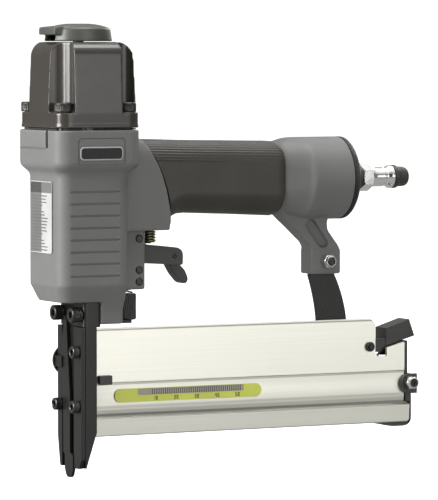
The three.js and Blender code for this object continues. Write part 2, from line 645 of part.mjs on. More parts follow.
// Near plate, floor and far lip of the sliding half, with the notch for the latch and the sight slot.
function magazineCover() {
  const { bottomZ, topZ, nearY, sheet, front, rear, notch } = magazine;
  const side = [[front, bottomZ], [206.7, bottomZ], [206.7, 33.6], [rear, 34.4], [rear, 69.2], [191.5, 66],
    [191.5, 61.2], [notch, 61.2], [notch, topZ - 3], [notch - 3, topZ], [front, topZ]];
  const inside = nearY + sheet;
  const section = [
    [nearY, bottomZ], [6.6, bottomZ], [6.6, 33], [5, 33], [5, bottomZ + 1.6], [inside, bottomZ + 1.6],
    [inside, topZ - 1.6], [nearY + 2.8, topZ - 1.6], [nearY + 2.8, topZ], [nearY, topZ],
    [nearY, 52.8], [nearY + 0.5, 52], [nearY + 0.5, 39.2], [nearY + 1.2, 35.2], [nearY + 1.2, 33.5],
    [nearY + 0.1, 33],
  ];
  let cover = prismX(section, front, 206.7).intersect(prismY(side, -30, 30));
  cover = cover.subtract(box(31.4, 98.1, nearY - 1, inside + 1, 45.2, 48.6));
  cover = cover.subtract(barY(latchPivot.x, latchPivot.z, 1.9, -20, -6, 14));
  return cover.subtract(barY(endBolt.x, endBolt.z, 2.4, -20, -6, 14));
}

function magazineRail() {
  const { nearY, farY, bottomZ, topZ } = rail;
  const side = [[6.4, bottomZ], [rail.rear, bottomZ], [rail.rear, 60], [183, 60], [183, topZ - 2],
    [181, topZ], [6.4, topZ]];
  const wall = prismY(side, nearY, farY);
  const track = box(6.4, rail.rear, -5.4, nearY + 0.2, 35.6, 37.4);
  const rib = box(6.4, rail.rear, -5.4, -4, 30, 36);
  const rivetHoles = [154, 166].map((x) => barY(x, 75.6, 1.9, -10, 20, 12));
  return wall.add(track).add(rib).subtract(rivetHoles[0]).subtract(rivetHoles[1]);
}

function supportStrap() {
  const curve = new THREE.Shape();
  curve.moveTo(147.4, 122);
  curve.lineTo(145.2, 108.6);
  curve.quadraticCurveTo(149.6, 95, 150.6, 82.4);
  curve.lineTo(150.6, 71);
  curve.lineTo(169.6, 71);
  curve.lineTo(169.6, 82.4);
  curve.quadraticCurveTo(168, 96, 161.8, 108.6);
  curve.lineTo(160.4, 122);
  let strap = prismY(curve, -1.5, 1.5).subtract(barY(hanger.boltX, hanger.boltZ, 2.4, -20, 20));
  for (const x of [154, 166]) strap = strap.subtract(barY(x, 75.6, 1.9, -10, 20, 12));
  return strap;
}

function endBlock() {
  const body = prismY([[199, 26], [206.4, 26], [206.4, 69.6], [199, 68]], -7.9, 4.6);
  const shoe = prismY([
    [187.4, 22.3], [191, 20.9], [196, 20.2], [203, 20.2], [206, 20.9], [208, 23.4], [208, 39],
    [204, 40], [204.6, 34.7], [207, 34.4], [207, 22.3],
  ], -9.6, 6.4);
  const ear = new THREE.Shape();
  ear.moveTo(210.4, 39.2);
  ear.lineTo(210.4, 50.6);
  ear.absarc(205.4, 44.9, 5.7, Math.PI / 2, Math.PI * 1.5, false);
  const nearEar = prismY(ear, -12.3, -10.3);
  const neck = box(204.2, 210.2, -12, 4.6, 39.6, 50.2);
  const boltHole = barY(endBolt.x, endBolt.z, 2.3, -30, 20, 16);
  const rodHole = barX(pusherRod.y, pusherRod.z, 2.1, 190, 203, 14);
  return body.add(shoe).add(nearEar).add(neck).subtract(boltHole).subtract(rodHole);
}

function hexNut(radius, height, hole) {
  const flats = barZ(0, 0, radius, 0, height * 0.6, 6);
  const collar = barZ(0, 0, radius * 0.76, 0, height, 18);
  return flats.add(collar).subtract(barZ(0, 0, hole, -1, height + 1, 14));
}

function latchLever() {
  const lever = prismY([[193.2, 66.9], [212.2, 72.1], [208.6, 81.9], [193.2, 77.1]], -6, 6.4);
  const arm = prismY([[176.6, 65.2], [180, 63.4], [191, 63.4], [193.4, 66], [194, 71.2], [180, 70.6],
    [176.6, 69]], -5.6, -2);
  const hook = box(191.8, 195.2, -1.8, 1.2, 61.2, 70);
  return lever.add(arm).add(hook).subtract(barY(latchPivot.x, latchPivot.z, 1.9, -20, 20, 14));
}

function pusherBlock() {
  const body = prismX([[-7.4, 38], [1.2, 38], [1.2, 64], [-1, 64.4], [-7.4, 64.4]], 9, 34);
  return body.subtract(barX(pusherRod.y, pusherRod.z, pusherRod.radius + GAP, 0, 40, 14));
}

function addMagazine() {
  const { nearY } = magazine;
  add('magazine_rail', magazineRail(), aluminium);
  add('magazine_cover', magazineCover(), aluminium);
  add('front_clip', box(6.6, 14.6, nearY - 3.2, nearY - GAP, 51.8, 57), plastic);
  add('support_strap', supportStrap(), blackSteel);
  const strapBolt = turned(capScrew(3.5, 4, 2, 19.6), -90, 0, 0);
  const lockNut = turned(hexNut(4.04, 5.2, 2.2), 90, 0, 0);
  add('strap_bolt', strapBolt, brightSteel, hanger.boltX, hanger.halfWidth + GAP, hanger.boltZ);
  add('strap_nut', lockNut, chrome, hanger.boltX, -hanger.halfWidth - GAP, hanger.boltZ);
  add('end_block', endBlock(), plastic);
  add('end_bolt', turned(capScrew(3.5, 4, 2, 21.6), -90, 0, 0), brightSteel, endBolt.x, 4.9, endBolt.z);
  add('end_nut', lockNut, chrome, endBolt.x, -12.6, endBolt.z);
  add('pusher', pusherBlock(), blackSteel);
  add('pusher_rod', barX(pusherRod.y, pusherRod.z, pusherRod.radius, 8, 202.4, 12), brightSteel);
  add('pusher_spring', turned(coil(3, 0.4, 164, 10), 0, 90, 0), brightSteel, 34.4, pusherRod.y, pusherRod.z);
  add('latch', latchLever(), plastic);
  const latchPin = turned(capScrew(2.8, 1.2, 1.5, 8.6), 90, 0, 0);
  add('latch_pin', latchPin, blackSteel, latchPivot.x, nearY - GAP, latchPivot.z);
  add('latch_spring', coil(2, 0.4, 9, 4), brightSteel, 187, -3.8, 53.8);
}

// ---------------------------------------------------------------- plates and labels

function addLabels() {
  const badge = roundedRing(-12.4, 13.6, 177.4, 184.8, 2.2, 3);
  const strip = roundedRing(17.2, 109.4, 41.3, 48.9, 3.7);
  const window = box(31, 98.5, -20, 0, 44.9, 48.75);
  add('badge_plate', prismY(badge, -block.halfWidth - 0.9, -block.halfWidth - GAP), badgeBlack);
  add('front_label', box(engine.front - 0.8, engine.front - GAP, -13, 15.4, 125.6, 165.4), labelPale);
  add('scale_label', prismY(strip, magazine.nearY - 0.6, magazine.nearY - 0.1).subtract(window), labelGreen);
}

addTop();
addEngine();
addBody();
addTrigger();
addNose();
addMagazine();
addLabels();

export default nailer;
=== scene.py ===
"""Looks for the pneumatic nailer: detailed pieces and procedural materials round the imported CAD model.

Shapes are drawn in millimetres, with x counted from the cylinder's axis, and extra_piece() puts
them into the row frame, which is in metres.
"""

import json
import math

import bmesh
import bpy
from mathutils import Matrix, Vector


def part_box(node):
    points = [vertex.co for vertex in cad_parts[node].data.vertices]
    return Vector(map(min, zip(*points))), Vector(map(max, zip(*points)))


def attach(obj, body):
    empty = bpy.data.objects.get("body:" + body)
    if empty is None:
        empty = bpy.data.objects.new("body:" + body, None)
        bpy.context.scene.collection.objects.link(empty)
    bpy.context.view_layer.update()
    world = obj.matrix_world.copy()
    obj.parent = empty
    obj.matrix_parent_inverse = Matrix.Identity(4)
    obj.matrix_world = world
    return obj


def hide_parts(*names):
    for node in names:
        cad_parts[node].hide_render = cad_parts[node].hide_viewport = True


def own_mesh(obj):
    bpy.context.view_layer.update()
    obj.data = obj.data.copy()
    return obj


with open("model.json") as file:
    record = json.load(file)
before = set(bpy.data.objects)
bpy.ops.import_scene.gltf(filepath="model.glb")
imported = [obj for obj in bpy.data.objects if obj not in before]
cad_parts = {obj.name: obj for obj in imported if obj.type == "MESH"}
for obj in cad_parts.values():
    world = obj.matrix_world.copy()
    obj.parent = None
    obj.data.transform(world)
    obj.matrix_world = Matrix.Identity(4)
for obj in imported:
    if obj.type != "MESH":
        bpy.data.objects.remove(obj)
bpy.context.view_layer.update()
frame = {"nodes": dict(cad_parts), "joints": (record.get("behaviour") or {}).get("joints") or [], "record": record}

MM = 0.001
FINE_MESH = 9000  # faces: above this a piece's own vertices carry its shading
joints = {joint["name"]: joint for joint in frame["joints"]}
AXIS_X = joints["deflector_turn"]["pos_m"][0]  # the cylinder's axis in the row frame
BODIES = {node: body for body, nodes in frame["record"]["behaviour"]["bodies"].items() for node in nodes}
TO_FRAME = Matrix.Translation((AXIS_X, 0, 0)) @ Matrix.Scale(MM, 4)


def node_box(node):
    """A CAD node's lowest and highest corners in the millimetres that the shapes are drawn in."""
    low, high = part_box(node)
    return TO_FRAME.inverted() @ low, TO_FRAME.inverted() @ high


# ---------------- outlines


def fillet(points, radius, closed=True, steps=4):
    """The same outline with its corners rounded. radius is one number, or one for each corner."""
    count = len(points)
    radii = radius if isinstance(radius, (list, tuple)) else [radius] * count
    rounded = []
    for i, (point, r) in enumerate(zip(points, radii)):
        if r == 0 or (not closed and i in (0, count - 1)):
            rounded.append(point)
            continue
        here = Vector(point)
        before = Vector(points[i - 1]) - here
        after = Vector(points[(i + 1) % count]) - here
        start = here + before.normalized() * min(r, before.length * 0.48)
        end = here + after.normalized() * min(r, after.length * 0.48)
        for step in range(steps + 1):
            t = step / steps
            bent = start * (1 - t) ** 2 + here * 2 * t * (1 - t) + end * t ** 2
            rounded.append(tuple(bent))
    return rounded


def rectangle(u0, u1, v0, v1):
    return [(u0, v0), (u1, v0), (u1, v1), (u0, v1)]


def rounded_rectangle(u0, u1, v0, v1, radius, steps=8):
    """A rectangle whose corners are quarter circles, in order round it."""
    centres = [(u1 - radius, v1 - radius), (u0 + radius, v1 - radius),
               (u0 + radius, v0 + radius), (u1 - radius, v0 + radius)]
    ring = []
    for quarter, (u, v) in enumerate(centres):
        for step in range(steps + 1):
            angle = (quarter + step / steps) * math.pi / 2
            ring.append((u + radius * math.cos(angle), v + radius * math.sin(angle)))
    return ring


def six_corners(radius):
    """A hexagon of that corner radius."""
    angles = [2 * math.pi * i / 6 for i in range(6)]
    return [(radius * math.cos(a), radius * math.sin(a)) for a in angles]


# ---------------- solids


def place(axis, u, v, along):
    """A point of an outline drawn across an axis: (y, z) on X, (x, z) on Y and (x, y) on Z."""
    return {"X": (along, u, v), "Y": (u, along, v), "Z": (u, v, along)}[axis]


def mesh_object(vertices, faces):
    mesh = bpy.data.meshes.new("shape")
    mesh.from_pydata(vertices, [], faces)
    shell = bmesh.new()
    shell.from_mesh(mesh)
    bmesh.ops.remove_doubles(shell, verts=shell.verts, dist=1e-4)
    bmesh.ops.recalc_face_normals(shell, faces=shell.faces)
    shell.to_mesh(mesh)
    shell.free()
    obj = bpy.data.objects.new("shape", mesh)
    bpy.context.scene.collection.objects.link(obj)
    return obj


def skin(rings):
    """A closed solid over a stack of rings that all have as many points."""
    count = len(rings[0])
    vertices = [point for ring in rings for point in ring]
    faces = []
    for level in range(len(rings) - 1):
        for i in range(count):
            a, b = level * count + i, level * count + (i + 1) % count
            faces.append((a, b, b + count, a + count))
    last = (len(rings) - 1) * count
    faces.append(tuple(range(count - 1, -1, -1)))
    faces.append(tuple(range(last, last + count)))
    return mesh_object(vertices, faces)


def prism(outline, low, high, axis):
    """An outline with straight walls, from low to high along the axis."""
    return skin([[place(axis, u, v, along) for u, v in outline] for along in (low, high)])


def box(x0, x1, y0, y1, z0, z1):
    return prism(rectangle(x0, x1, y0, y1), z0, z1, "Z")


def loft(sections, axis, steps=8):
    """A skin over rounded rectangles, each (along, (u0, u1), (v0, v1), radius)."""
    rings = []
    for along, us, vs, radius in sections:
        ring = rounded_rectangle(*us, *vs, radius, steps)
        rings.append([place(axis, u, v, along) for u, v in ring])
    return skin(rings)


def lathe(profile, axis="Z", centre=(0.0, 0.0), segments=64, wave=None):
    """Turns (radius, height) points about an axis through centre. The profile starts and ends on the
    axis, or closes on itself. wave(angle, radius, height) may change a point's radius."""
    closed = profile[0] == profile[-1]
    points = profile[:-1] if closed else profile
    vertices = []
    faces = []
    rings = []
    for radius, height in points:
        first = len(vertices)
        if radius < 1e-6:
            vertices.append(place(axis, centre[0], centre[1], height))
            rings.append([first] * segments)
            continue
        for i in range(segments):
            angle = 2 * math.pi * i / segments
            r = wave(angle, radius, height) if wave else radius
            u, v = centre[0] + r * math.cos(angle), centre[1] + r * math.sin(angle)
            vertices.append(place(axis, u, v, height))
        rings.append(list(range(first, first + segments)))
    pairs = list(zip(rings, rings[1:] + rings[:1] if closed else rings[1:]))
    for lower, upper in pairs:
        for i in range(segments):
            j = (i + 1) % segments
            corners = list(dict.fromkeys((lower[i], lower[j], upper[j], upper[i])))
            if len(corners) > 2:
                faces.append(corners)
    return mesh_object(vertices, faces)


def bar(axis, centre, radius, low, high, chamfer=0.0, segments=48):
    """A round bar along an axis, with chamfered ends if asked."""
    if chamfer:
        profile = [(0, low), (radius - chamfer, low), (radius, low + chamfer),
                   (radius, high - chamfer), (radius - chamfer, high), (0, high)]
    else:
        profile = [(0, low), (radius, low), (radius, high), (0, high)]
    return lathe(profile, axis, centre, segments)


def coil(radius, wire, low, high, turns, axis="Z", centre=(0.0, 0.0), per_turn=28, sides=8):
    """A round-wire spring whose ends close up flat."""
    steps = round(turns * per_turn)
    rings = []
    length = high - low - 2 * wire
    closing = 0.9  # turns at each end that lie close together
    for step in range(steps + 1):
        turn = step / per_turn
        eased = min(max((turn - closing) / (turns - 2 * closing), 0), 1)
        end_rise = wire * 2 * closing
        rise = eased * (length - 2 * end_rise) + min(turn, closing) / closing * end_rise
        rise += max(turn - turns + closing, 0) / closing * end_rise
        angle = 2 * math.pi * turn
        out = (math.cos(angle), math.sin(angle))
        ring = []
        for side in range(sides):
            around = 2 * math.pi * side / sides
            reach = radius + wire * math.cos(around)
            along = low + wire + rise + wire * math.sin(around)
            ring.append(place(axis, centre[0] + out[0] * reach, centre[1] + out[1] * reach, along))
        rings.append(ring)
    return skin(rings)


def apply_modifiers(obj):
    bpy.context.view_layer.update()
    shown = obj.evaluated_get(bpy.context.evaluated_depsgraph_get())
    mesh = bpy.data.meshes.new_from_object(shown)
    obj.modifiers.clear()
    obj.data = mesh
    return obj


def combine(obj, tools, operation):
    for tool in tools:
        modifier = obj.modifiers.new("combine", "BOOLEAN")
        modifier.operation = operation
        modifier.object = tool
        modifier.solver = "EXACT"
        apply_modifiers(obj)
        bpy.data.objects.remove(tool)
    return obj


def join(obj, *tools):
    return combine(obj, tools, "UNION")


def merged(parts):
    """Loose parts in one mesh, which is enough where they don't touch."""
    with bpy.context.temp_override(active_object=parts[0], selected_editable_objects=parts):
        bpy.ops.object.join()
    return parts[0]


def cut(obj, *tools):
    return combine(obj, tools, "DIFFERENCE")


def common(obj, *tools):
    return combine(obj, tools, "INTERSECT")


def bevelled(obj, width, segments=3):
    """Rounds the sharp edges."""
    modifier = obj.modifiers.new("bevel", "BEVEL")
    modifier.width = width
    modifier.segments = segments
    modifier.limit_method = "ANGLE"
    modifier.angle_limit = math.radians(35)
    modifier.miter_outer = "MITER_ARC"
    return apply_modifiers(obj)


def cast(obj, voxel, smoothing=4):
    """Melts a joined solid into one skin with the soft fillets of a casting."""
    remesh = obj.modifiers.new("remesh", "REMESH")
    remesh.mode = "VOXEL"
    remesh.voxel_size = voxel
    smooth = obj.modifiers.new("smooth", "SMOOTH")
    smooth.factor = 0.5
    smooth.iterations = smoothing
    return apply_modifiers(obj)


def even_normals(obj):
    """Keeps large flat faces evenly lit next to their small bevels."""
    modifier = obj.modifiers.new("normals", "WEIGHTED_NORMAL")
    modifier.keep_sharp = True
    return apply_modifiers(obj)


def extra_piece(obj, name, body, material, sharp=40):
    """Puts a piece in the row frame, shades it, and ties it to its body."""
    obj.name = name
    obj.data.name = name
    obj.data.transform(TO_FRAME)
    obj.data.shade_smooth()
    obj.data.set_sharp_from_angle(angle=math.radians(sharp))
    if len(obj.data.polygons) < FINE_MESH:
        even_normals(obj)
    obj.data.materials.clear()
    obj.data.materials.append(material)
    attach(obj, body)


def stand_in(obj, node, name, material, sharp=40):
    """A piece in place of a CAD node, which it hides, on the node's body and with the material given."""
    extra_piece(obj, name, BODIES[node], material, sharp)
    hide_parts(node)


# ---------------- materials


def new_material(name):
    """A material with its node tree and its shader."""
    material = bpy.data.materials.new(name)
    material.use_nodes = True
    tree = material.node_tree
    return material, tree, tree.nodes["Principled BSDF"]


def noise(tree, scale, detail=3.0, stretch=(1, 1, 1)):
    """Noise in the piece's own coordinates. scale is in features per metre."""
    place_node = tree.nodes.new("ShaderNodeTexCoord")
    mapping = tree.nodes.new("ShaderNodeMapping")
    mapping.inputs["Scale"].default_value = stretch
    texture = tree.nodes.new("ShaderNodeTexNoise")
    texture.inputs["Scale"].default_value = scale
    texture.inputs["Detail"].default_value = detail
    texture.inputs["Roughness"].default_value = 0.5
    tree.links.new(place_node.outputs["Object"], mapping.inputs["Vector"])
    tree.links.new(mapping.outputs["Vector"], texture.inputs["Vector"])
    return texture.outputs["Fac"]


def spread(tree, value, low, high, start=0.3, end=0.7):
    """Maps start..end of a value to low..high."""
    node = tree.nodes.new("ShaderNodeMapRange")
    node.inputs["From Min"].default_value = start
    node.inputs["From Max"].default_value = end
    node.inputs["To Min"].default_value = low
    node.inputs["To Max"].default_value = high
    tree.links.new(value, node.inputs["Value"])
    return node.outputs["Result"]


def blend_colours(tree, factor, first, second):
    """The first colour where the factor is 0 and the second where it is 1."""
    node = tree.nodes.new("ShaderNodeMix")
    node.data_type = "RGBA"
    tree.links.new(factor, node.inputs["Factor"])
    for socket, colour in ((node.inputs[6], first), (node.inputs[7], second)):
        if isinstance(colour, tuple):
            socket.default_value = (*colour, 1)
        else:
            tree.links.new(colour, socket)
    return node.outputs[2]


def shades(tree, factor, colour, dark, pale):
    """A colour from its darker to its paler shade."""
    darker = tuple(c * dark for c in colour)
    paler = tuple(min(c * pale, 1) for c in colour)
    return blend_colours(tree, factor, darker, paler)


def edges(tree):
    """1 on the outer edges of a finely meshed piece and 0 elsewhere."""
    geometry = tree.nodes.new("ShaderNodeNewGeometry")
    return spread(tree, geometry.outputs["Pointiness"], 0, 1, 0.53, 0.6)


def connect(tree, shader, colour, roughness, layers):
    """Colour, roughness and bumps, which come as (height value, depth in metres) layers."""
    tree.links.new(colour, shader.inputs["Base Color"])
    tree.links.new(roughness, shader.inputs["Roughness"])
    normal = None
    for height, depth in layers:
        bump = tree.nodes.new("ShaderNodeBump")
        bump.inputs["Strength"].default_value = 1.0
        bump.inputs["Distance"].default_value = depth
        tree.links.new(height, bump.inputs["Height"])
        if normal:
            tree.links.new(normal, bump.inputs["Normal"])
        normal = bump.outputs["Normal"]
    tree.links.new(normal, shader.inputs["Normal"])


def painted(name, colour, roughness, worn, grain_depth=0.00002, coat=0.0, specular=0.2):
    """Sprayed paint over a casting: faintly mottled, orange-peeled, and paler where its edges wear."""
    material, tree, shader = new_material(name)
    mottled = shades(tree, spread(tree, noise(tree, 30, 3), 0, 1), colour, 0.94, 1.06)
    final = blend_colours(tree, edges(tree), mottled, worn)
    rough = spread(tree, noise(tree, 160, 4), roughness * 0.92, roughness * 1.12)
    shader.inputs["Specular IOR Level"].default_value = specular
    shader.inputs["Coat Weight"].default_value = coat
    shader.inputs["Coat Roughness"].default_value = 0.12
    grain, waves = noise(tree, 1100, 3), noise(tree, 60, 2)
    connect(tree, shader, final, rough, [(grain, grain_depth), (waves, grain_depth * 4)])
    return material


def metal(name, colour, roughness, scratch=(1, 1, 1), scratch_scale=900, depth=0.00001, metallic=1.0):
    """Bare or blackened metal with grinding lines along the direction that scratch leaves small."""
    material, tree, shader = new_material(name)
    lines = noise(tree, scratch_scale, 4, scratch)
    tone = shades(tree, spread(tree, lines, 0, 1), colour, 0.93, 1.05)
    stain = spread(tree, noise(tree, 50, 4), 0, 0.35)
    final = blend_colours(tree, stain, tone, tuple(c * 0.82 for c in colour))
    shader.inputs["Metallic"].default_value = metallic
    rough = spread(tree, noise(tree, scratch_scale * 0.6, 3, scratch), roughness * 0.85, roughness * 1.2)
    connect(tree, shader, final, rough, [(lines, depth)])
    return material


def calculate(tree, operation, first, second=None):
    """A maths node on values that are sockets or plain numbers."""
    node = tree.nodes.new("ShaderNodeMath")
    node.operation = operation
    for socket, value in zip(node.inputs, (first, second)):
        if isinstance(value, (int, float)):
            socket.default_value = value
        elif value is not None:
            tree.links.new(value, socket)
    return node.outputs[0]


def dirt_lines(tree, levels):
    """Painted shade in lines along a drawn profile. levels holds (height, half width, darkness), lengths in
    metres.
    """
    place_node = tree.nodes.new("ShaderNodeTexCoord")
    split = tree.nodes.new("ShaderNodeSeparateXYZ")
    tree.links.new(place_node.outputs["Object"], split.inputs[0])
    shade_amount = 0.0
    for level, half_width, darkness in levels:
        away = calculate(tree, "ABSOLUTE", calculate(tree, "SUBTRACT", split.outputs["Z"], level))
        line = spread(tree, away, darkness, 0, half_width * 0.4, half_width)
        shade_amount = calculate(tree, "MAXIMUM", shade_amount, line)
    return shade_amount


# The grey that the slide plate's painted shade lines darken towards.
PAINTED_SHADE_GREY = (0.1, 0.1, 0.09)


def drawn_aluminium(name, colour, roughness, levels):
    """Bright drawn sheet: fine lines along its length, and painted shade in lines at its levels."""
    material, tree, shader = new_material(name)
    lines = noise(tree, 1100, 4, (0.01, 1, 1))
    tone = shades(tree, spread(tree, lines, 0, 1), colour, 0.97, 1.02)
    # Painted shade: the plate darkens towards grey along its lines.
    final = blend_colours(tree, dirt_lines(tree, levels), tone, PAINTED_SHADE_GREY)
    shader.inputs["Metallic"].default_value = 1.0
    rough = spread(tree, noise(tree, 700, 3, (0.01, 1, 1)), roughness * 0.95, roughness * 1.08)
    connect(tree, shader, final, rough, [(lines, 0.000001)])
    return material


def moulded(name, colour, roughness, grain=1600, depth=0.00003, worn=None, specular=0.5):
    """Moulded plastic or rubber with a fine spark-eroded grain."""
    material, tree, shader = new_material(name)
    tone = shades(tree, spread(tree, noise(tree, 60, 4), 0, 1), colour, 0.9, 1.1)
    final = blend_colours(tree, edges(tree), tone, worn) if worn else tone
    rough = spread(tree, noise(tree, 300, 3), roughness * 0.9, min(roughness * 1.12, 1))
    shader.inputs["Specular IOR Level"].default_value = specular
    fine, coarse = noise(tree, grain, 2), noise(tree, 120, 2)
    connect(tree, shader, final, rough, [(fine, depth), (coarse, depth * 2)])
    return material


GREY_PAINT = painted("grey_paint", (0.104, 0.104, 0.101), 0.5, (0.15, 0.15, 0.144))
CAP_PAINT = painted("cap_paint", (0.027, 0.0245, 0.021), 0.24, (0.1, 0.095, 0.085), 0.000006,
                    coat=0.1, specular=0.3)
BLACK_OXIDE = metal("black_oxide", (0.009, 0.009, 0.008), 0.32, (1, 1, 0.25), 1500, 0.000006, 0.25)
SCREW_BLACK = metal("screw_black", (0.028, 0.028, 0.026), 0.3, (1, 1, 1), 1800, 0.000006, 0.5)
STEEL = metal("ground_steel", (0.5, 0.5, 0.48), 0.25, (0.1, 1, 1), 1600, 0.000005)
CHROME = metal("chrome", (0.95, 0.95, 0.93), 0.12, (1, 1, 1), 300, 0.0000004)
BRASS = metal("brass", (0.3, 0.27, 0.13), 0.35, (1, 1, 1), 1200, 0.000006)
ALUMINIUM = metal("aluminium", (0.8, 0.79, 0.72), 0.34, (0.01, 1, 1), 1100, 0.000002)
# Painted shade along the slide plate, from its top edge down to its bottom bend: dark lines at its top edge, bead,
# step, groove and bottom edge, and a faint darkening over its lower band.
PLATE_SHADE_LINES = [(0.0822, 0.0006, 0.7), (0.0517, 0.0006, 0.45), (0.0389, 0.0011, 0.28), (0.0364, 0.0016, 0.3),
               (0.0343, 0.0015, 0.85), (0.0328, 0.0005, 0.5), (0.0285, 0.012, 0.1), (0.0229, 0.0005, 0.6)]
SLIDE_ALUMINIUM = drawn_aluminium("drawn_aluminium", (0.86, 0.85, 0.76), 0.36, PLATE_SHADE_LINES)
RUBBER = moulded("sleeve_rubber", (0.027, 0.0245, 0.0195), 0.44, 1500, 0.00003, specular=0.35)
PLASTIC = moulded("black_plastic", (0.02, 0.02, 0.017), 0.42, 1700, 0.00002)
PLASTIC_WORN = moulded("deflector_plastic", (0.045, 0.046, 0.039), 0.38, 1700, 0.00002,
                       worn=(0.1, 0.1, 0.09), specular=0.3)
TRIGGER_PLASTIC = moulded("trigger_plastic", (0.03, 0.03, 0.026), 0.42, 1700, 0.00002, specular=0.35)
GASKET = moulded("gasket", (0.012, 0.012, 0.012), 0.7, 1500, 0.00003)
LABEL_GREEN = moulded("label_green", (0.4, 0.435, 0.06), 0.5, 500, 0.000004)
LABEL_WINDOW = moulded("label_window", (0.22, 0.21, 0.16), 0.4, 500, 0.000004)
LABEL_PALE = moulded("label_pale", (0.29, 0.29, 0.28), 0.5, 500, 0.000004)
LABEL_GREY = moulded("label_grey", (0.095, 0.095, 0.092), 0.5, 500, 0.000004)
LABEL_BARS = moulded("label_bars", (0.075, 0.075, 0.072), 0.5, 500, 0.000004)
LABEL_DARK = moulded("label_dark", (0.035, 0.035, 0.034), 0.5, 500, 0.000004)
BADGE = moulded("badge_black", (0.004, 0.004, 0.004), 0.4, 500, 0.000003, specular=0.3)
PRINT = moulded("print_black", (0.02, 0.02, 0.018), 0.5, 500, 0.000002)


# ---------------- fasteners


def along_axis(obj, axis, origin, direction=1):
    """Moves a piece drawn up the Z axis to stand at origin, pointing along an axis."""
    turns = {"Z": Matrix.Identity(4), "X": Matrix.Rotation(math.pi / 2, 4, "Y"),
             "Y": Matrix.Rotation(-math.pi / 2, 4, "X")}
    flip = Matrix.Identity(4) if direction > 0 else Matrix.Rotation(math.pi, 4, "X")
    obj.data.transform(Matrix.Translation(origin) @ turns[axis] @ flip)
    return obj


def cap_screw(head, height, shank, length):
    """A socket head cap screw standing on its head's seat, with a knurled rim and a hexagon socket."""
    knurls = round(head * 7)

    def knurl(angle, radius, level):
        on_rim = radius > head - 0.05 and 0.15 * height < level < 0.85 * height
        return radius - (0.16 * (0.5 + 0.5 * math.cos(angle * knurls)) if on_rim else 0)

    rim = [(head, height * f) for f in (0.12, 0.2, 0.4, 0.6, 0.8, 0.86)]
    profile = [(0, -length), (shank - 0.4, -length), (shank, -length + 0.4), (shank, 0), (head - 0.25, 0),
               *rim, (head - 0.15, height - 0.35), (head - 0.5, height - 0.05), (head - 0.8, height),
               (shank * 1.12, height), (shank * 0.95, height - 0.3), (0, height - 0.3)]
    screw = lathe(profile, segments=knurls * 6, wave=knurl)
    return cut(screw, prism(six_corners(shank * 0.93), height * 0.4, height + 1, "Z"))


def washer_screw(head, height, shank, length):
    """A cap screw on a split spring washer."""
    thick = 1.3
    screw = cap_screw(head, height - thick, shank, length)
    screw.data.transform(Matrix.Translation((0, 0, thick)))
    ring = lathe([(shank - 0.1, 0), (head - 0.3, 0), (head - 0.1, 0.2), (head - 0.1, thick - 0.25),
                  (head - 0.3, thick - 0.05), (shank - 0.1, thick - 0.05), (shank - 0.1, 0)], segments=64)
    split = prism([(shank, -0.3), (head + 1, 0.9), (head + 1, 1.4), (shank, 0.2)], -1, thick + 1, "Z")
    return join(screw, cut(ring, split))


def hexagon(radius, height, chamfer):
    """A hexagon bar whose corners are chamfered by a cone at both ends."""
    flats = prism(six_corners(radius), 0, height, "Z")
    slope = chamfer * 0.7
    cone = lathe([(0, 0), (radius - chamfer, 0), (radius + 0.2, slope), (radius + 0.2, height - slope),
                  (radius - chamfer, height), (0, height)], segments=72)
    return common(flats, cone)


def lock_nut(radius, height, hole):
    """A hexagon nut with the round collar that holds its nylon ring."""
    nut = hexagon(radius, height * 0.66, 0.6)
    collar = lathe([(0, 0.5), (radius * 0.84, 0.5), (radius * 0.84, height - 0.7),
                    (radius * 0.79, height - 0.2), (radius * 0.72, height), (0, height)], segments=64)
    return cut(join(nut, collar), bar("Z", (0, 0), hole, -1, height + 1, segments=64))


# ---------------- exhaust deflector and cap

SEAM_Z = node_box("body_housing")[1].z
CAP = node_box("cylinder_cap")
DOME = node_box("exhaust_deflector")
BORE = 19.6
BOLT_X, BOLT_Y = 19.5, 22
CAP_BOLTS = [(x, y) for x in (-BOLT_X, BOLT_X) for y in (-BOLT_Y, BOLT_Y)]


def make_deflector():
    low, top = DOME[0].z, DOME[1].z
    radius = 18.8
    outer = fillet([(0, low), (radius, low), (radius - 1.1, top - 2.7), (12, top - 0.9),
                    (6, top - 0.15), (0, top)], [0, 0.4, 1.1, 6, 4, 0], closed=False, steps=6)
    dome = lathe(outer, segments=96)
    visor = prism(fillet([(-19.4, low + 3.6), (-19.4, top - 2.2), (-9, top - 1.2), (-5, top - 1.2),
                          (-5, low + 3.6)], [0.5, 1.3, 3, 0, 0]), -10.4, 10.4, "Y")
    inner = lathe([(5.4, low - 1), (radius - 2.4, low - 1), (radius - 3, top - 3.4), (5.4, top - 3.2),
                   (5.4, low - 1)], segments=64)
    mouth = box(-31, -8.5, -6.6, 6.6, low - 2.3, low + 3.3)
    seat = lathe([(0, low - 1), (3.3, low - 1), (3.3, top - 3.2), (5.8, top - 0.7), (5.8, top + 1),
                  (0, top + 1)], segments=48)
    shell = cast(cut(join(dome, visor), mouth, inner), 0.4, 2)
    stand_in(cut(shell, seat), "exhaust_deflector", "deflector_shell", PLASTIC_WORN, sharp=50)
    screw = lathe([(0, low - 9), (3, low - 9), (3, top - 3.4), (5.3, top - 1.1), (5.3, top - 0.7),
                   (5, top - 0.45), (2.4, top - 0.45), (2, top - 0.9), (0, top - 0.9)], segments=64)
    cut(screw, prism(six_corners(2), top - 2.6, top + 1, "Z"))
    stand_in(screw, "deflector_screw", "deflector_socket_screw", SCREW_BLACK)


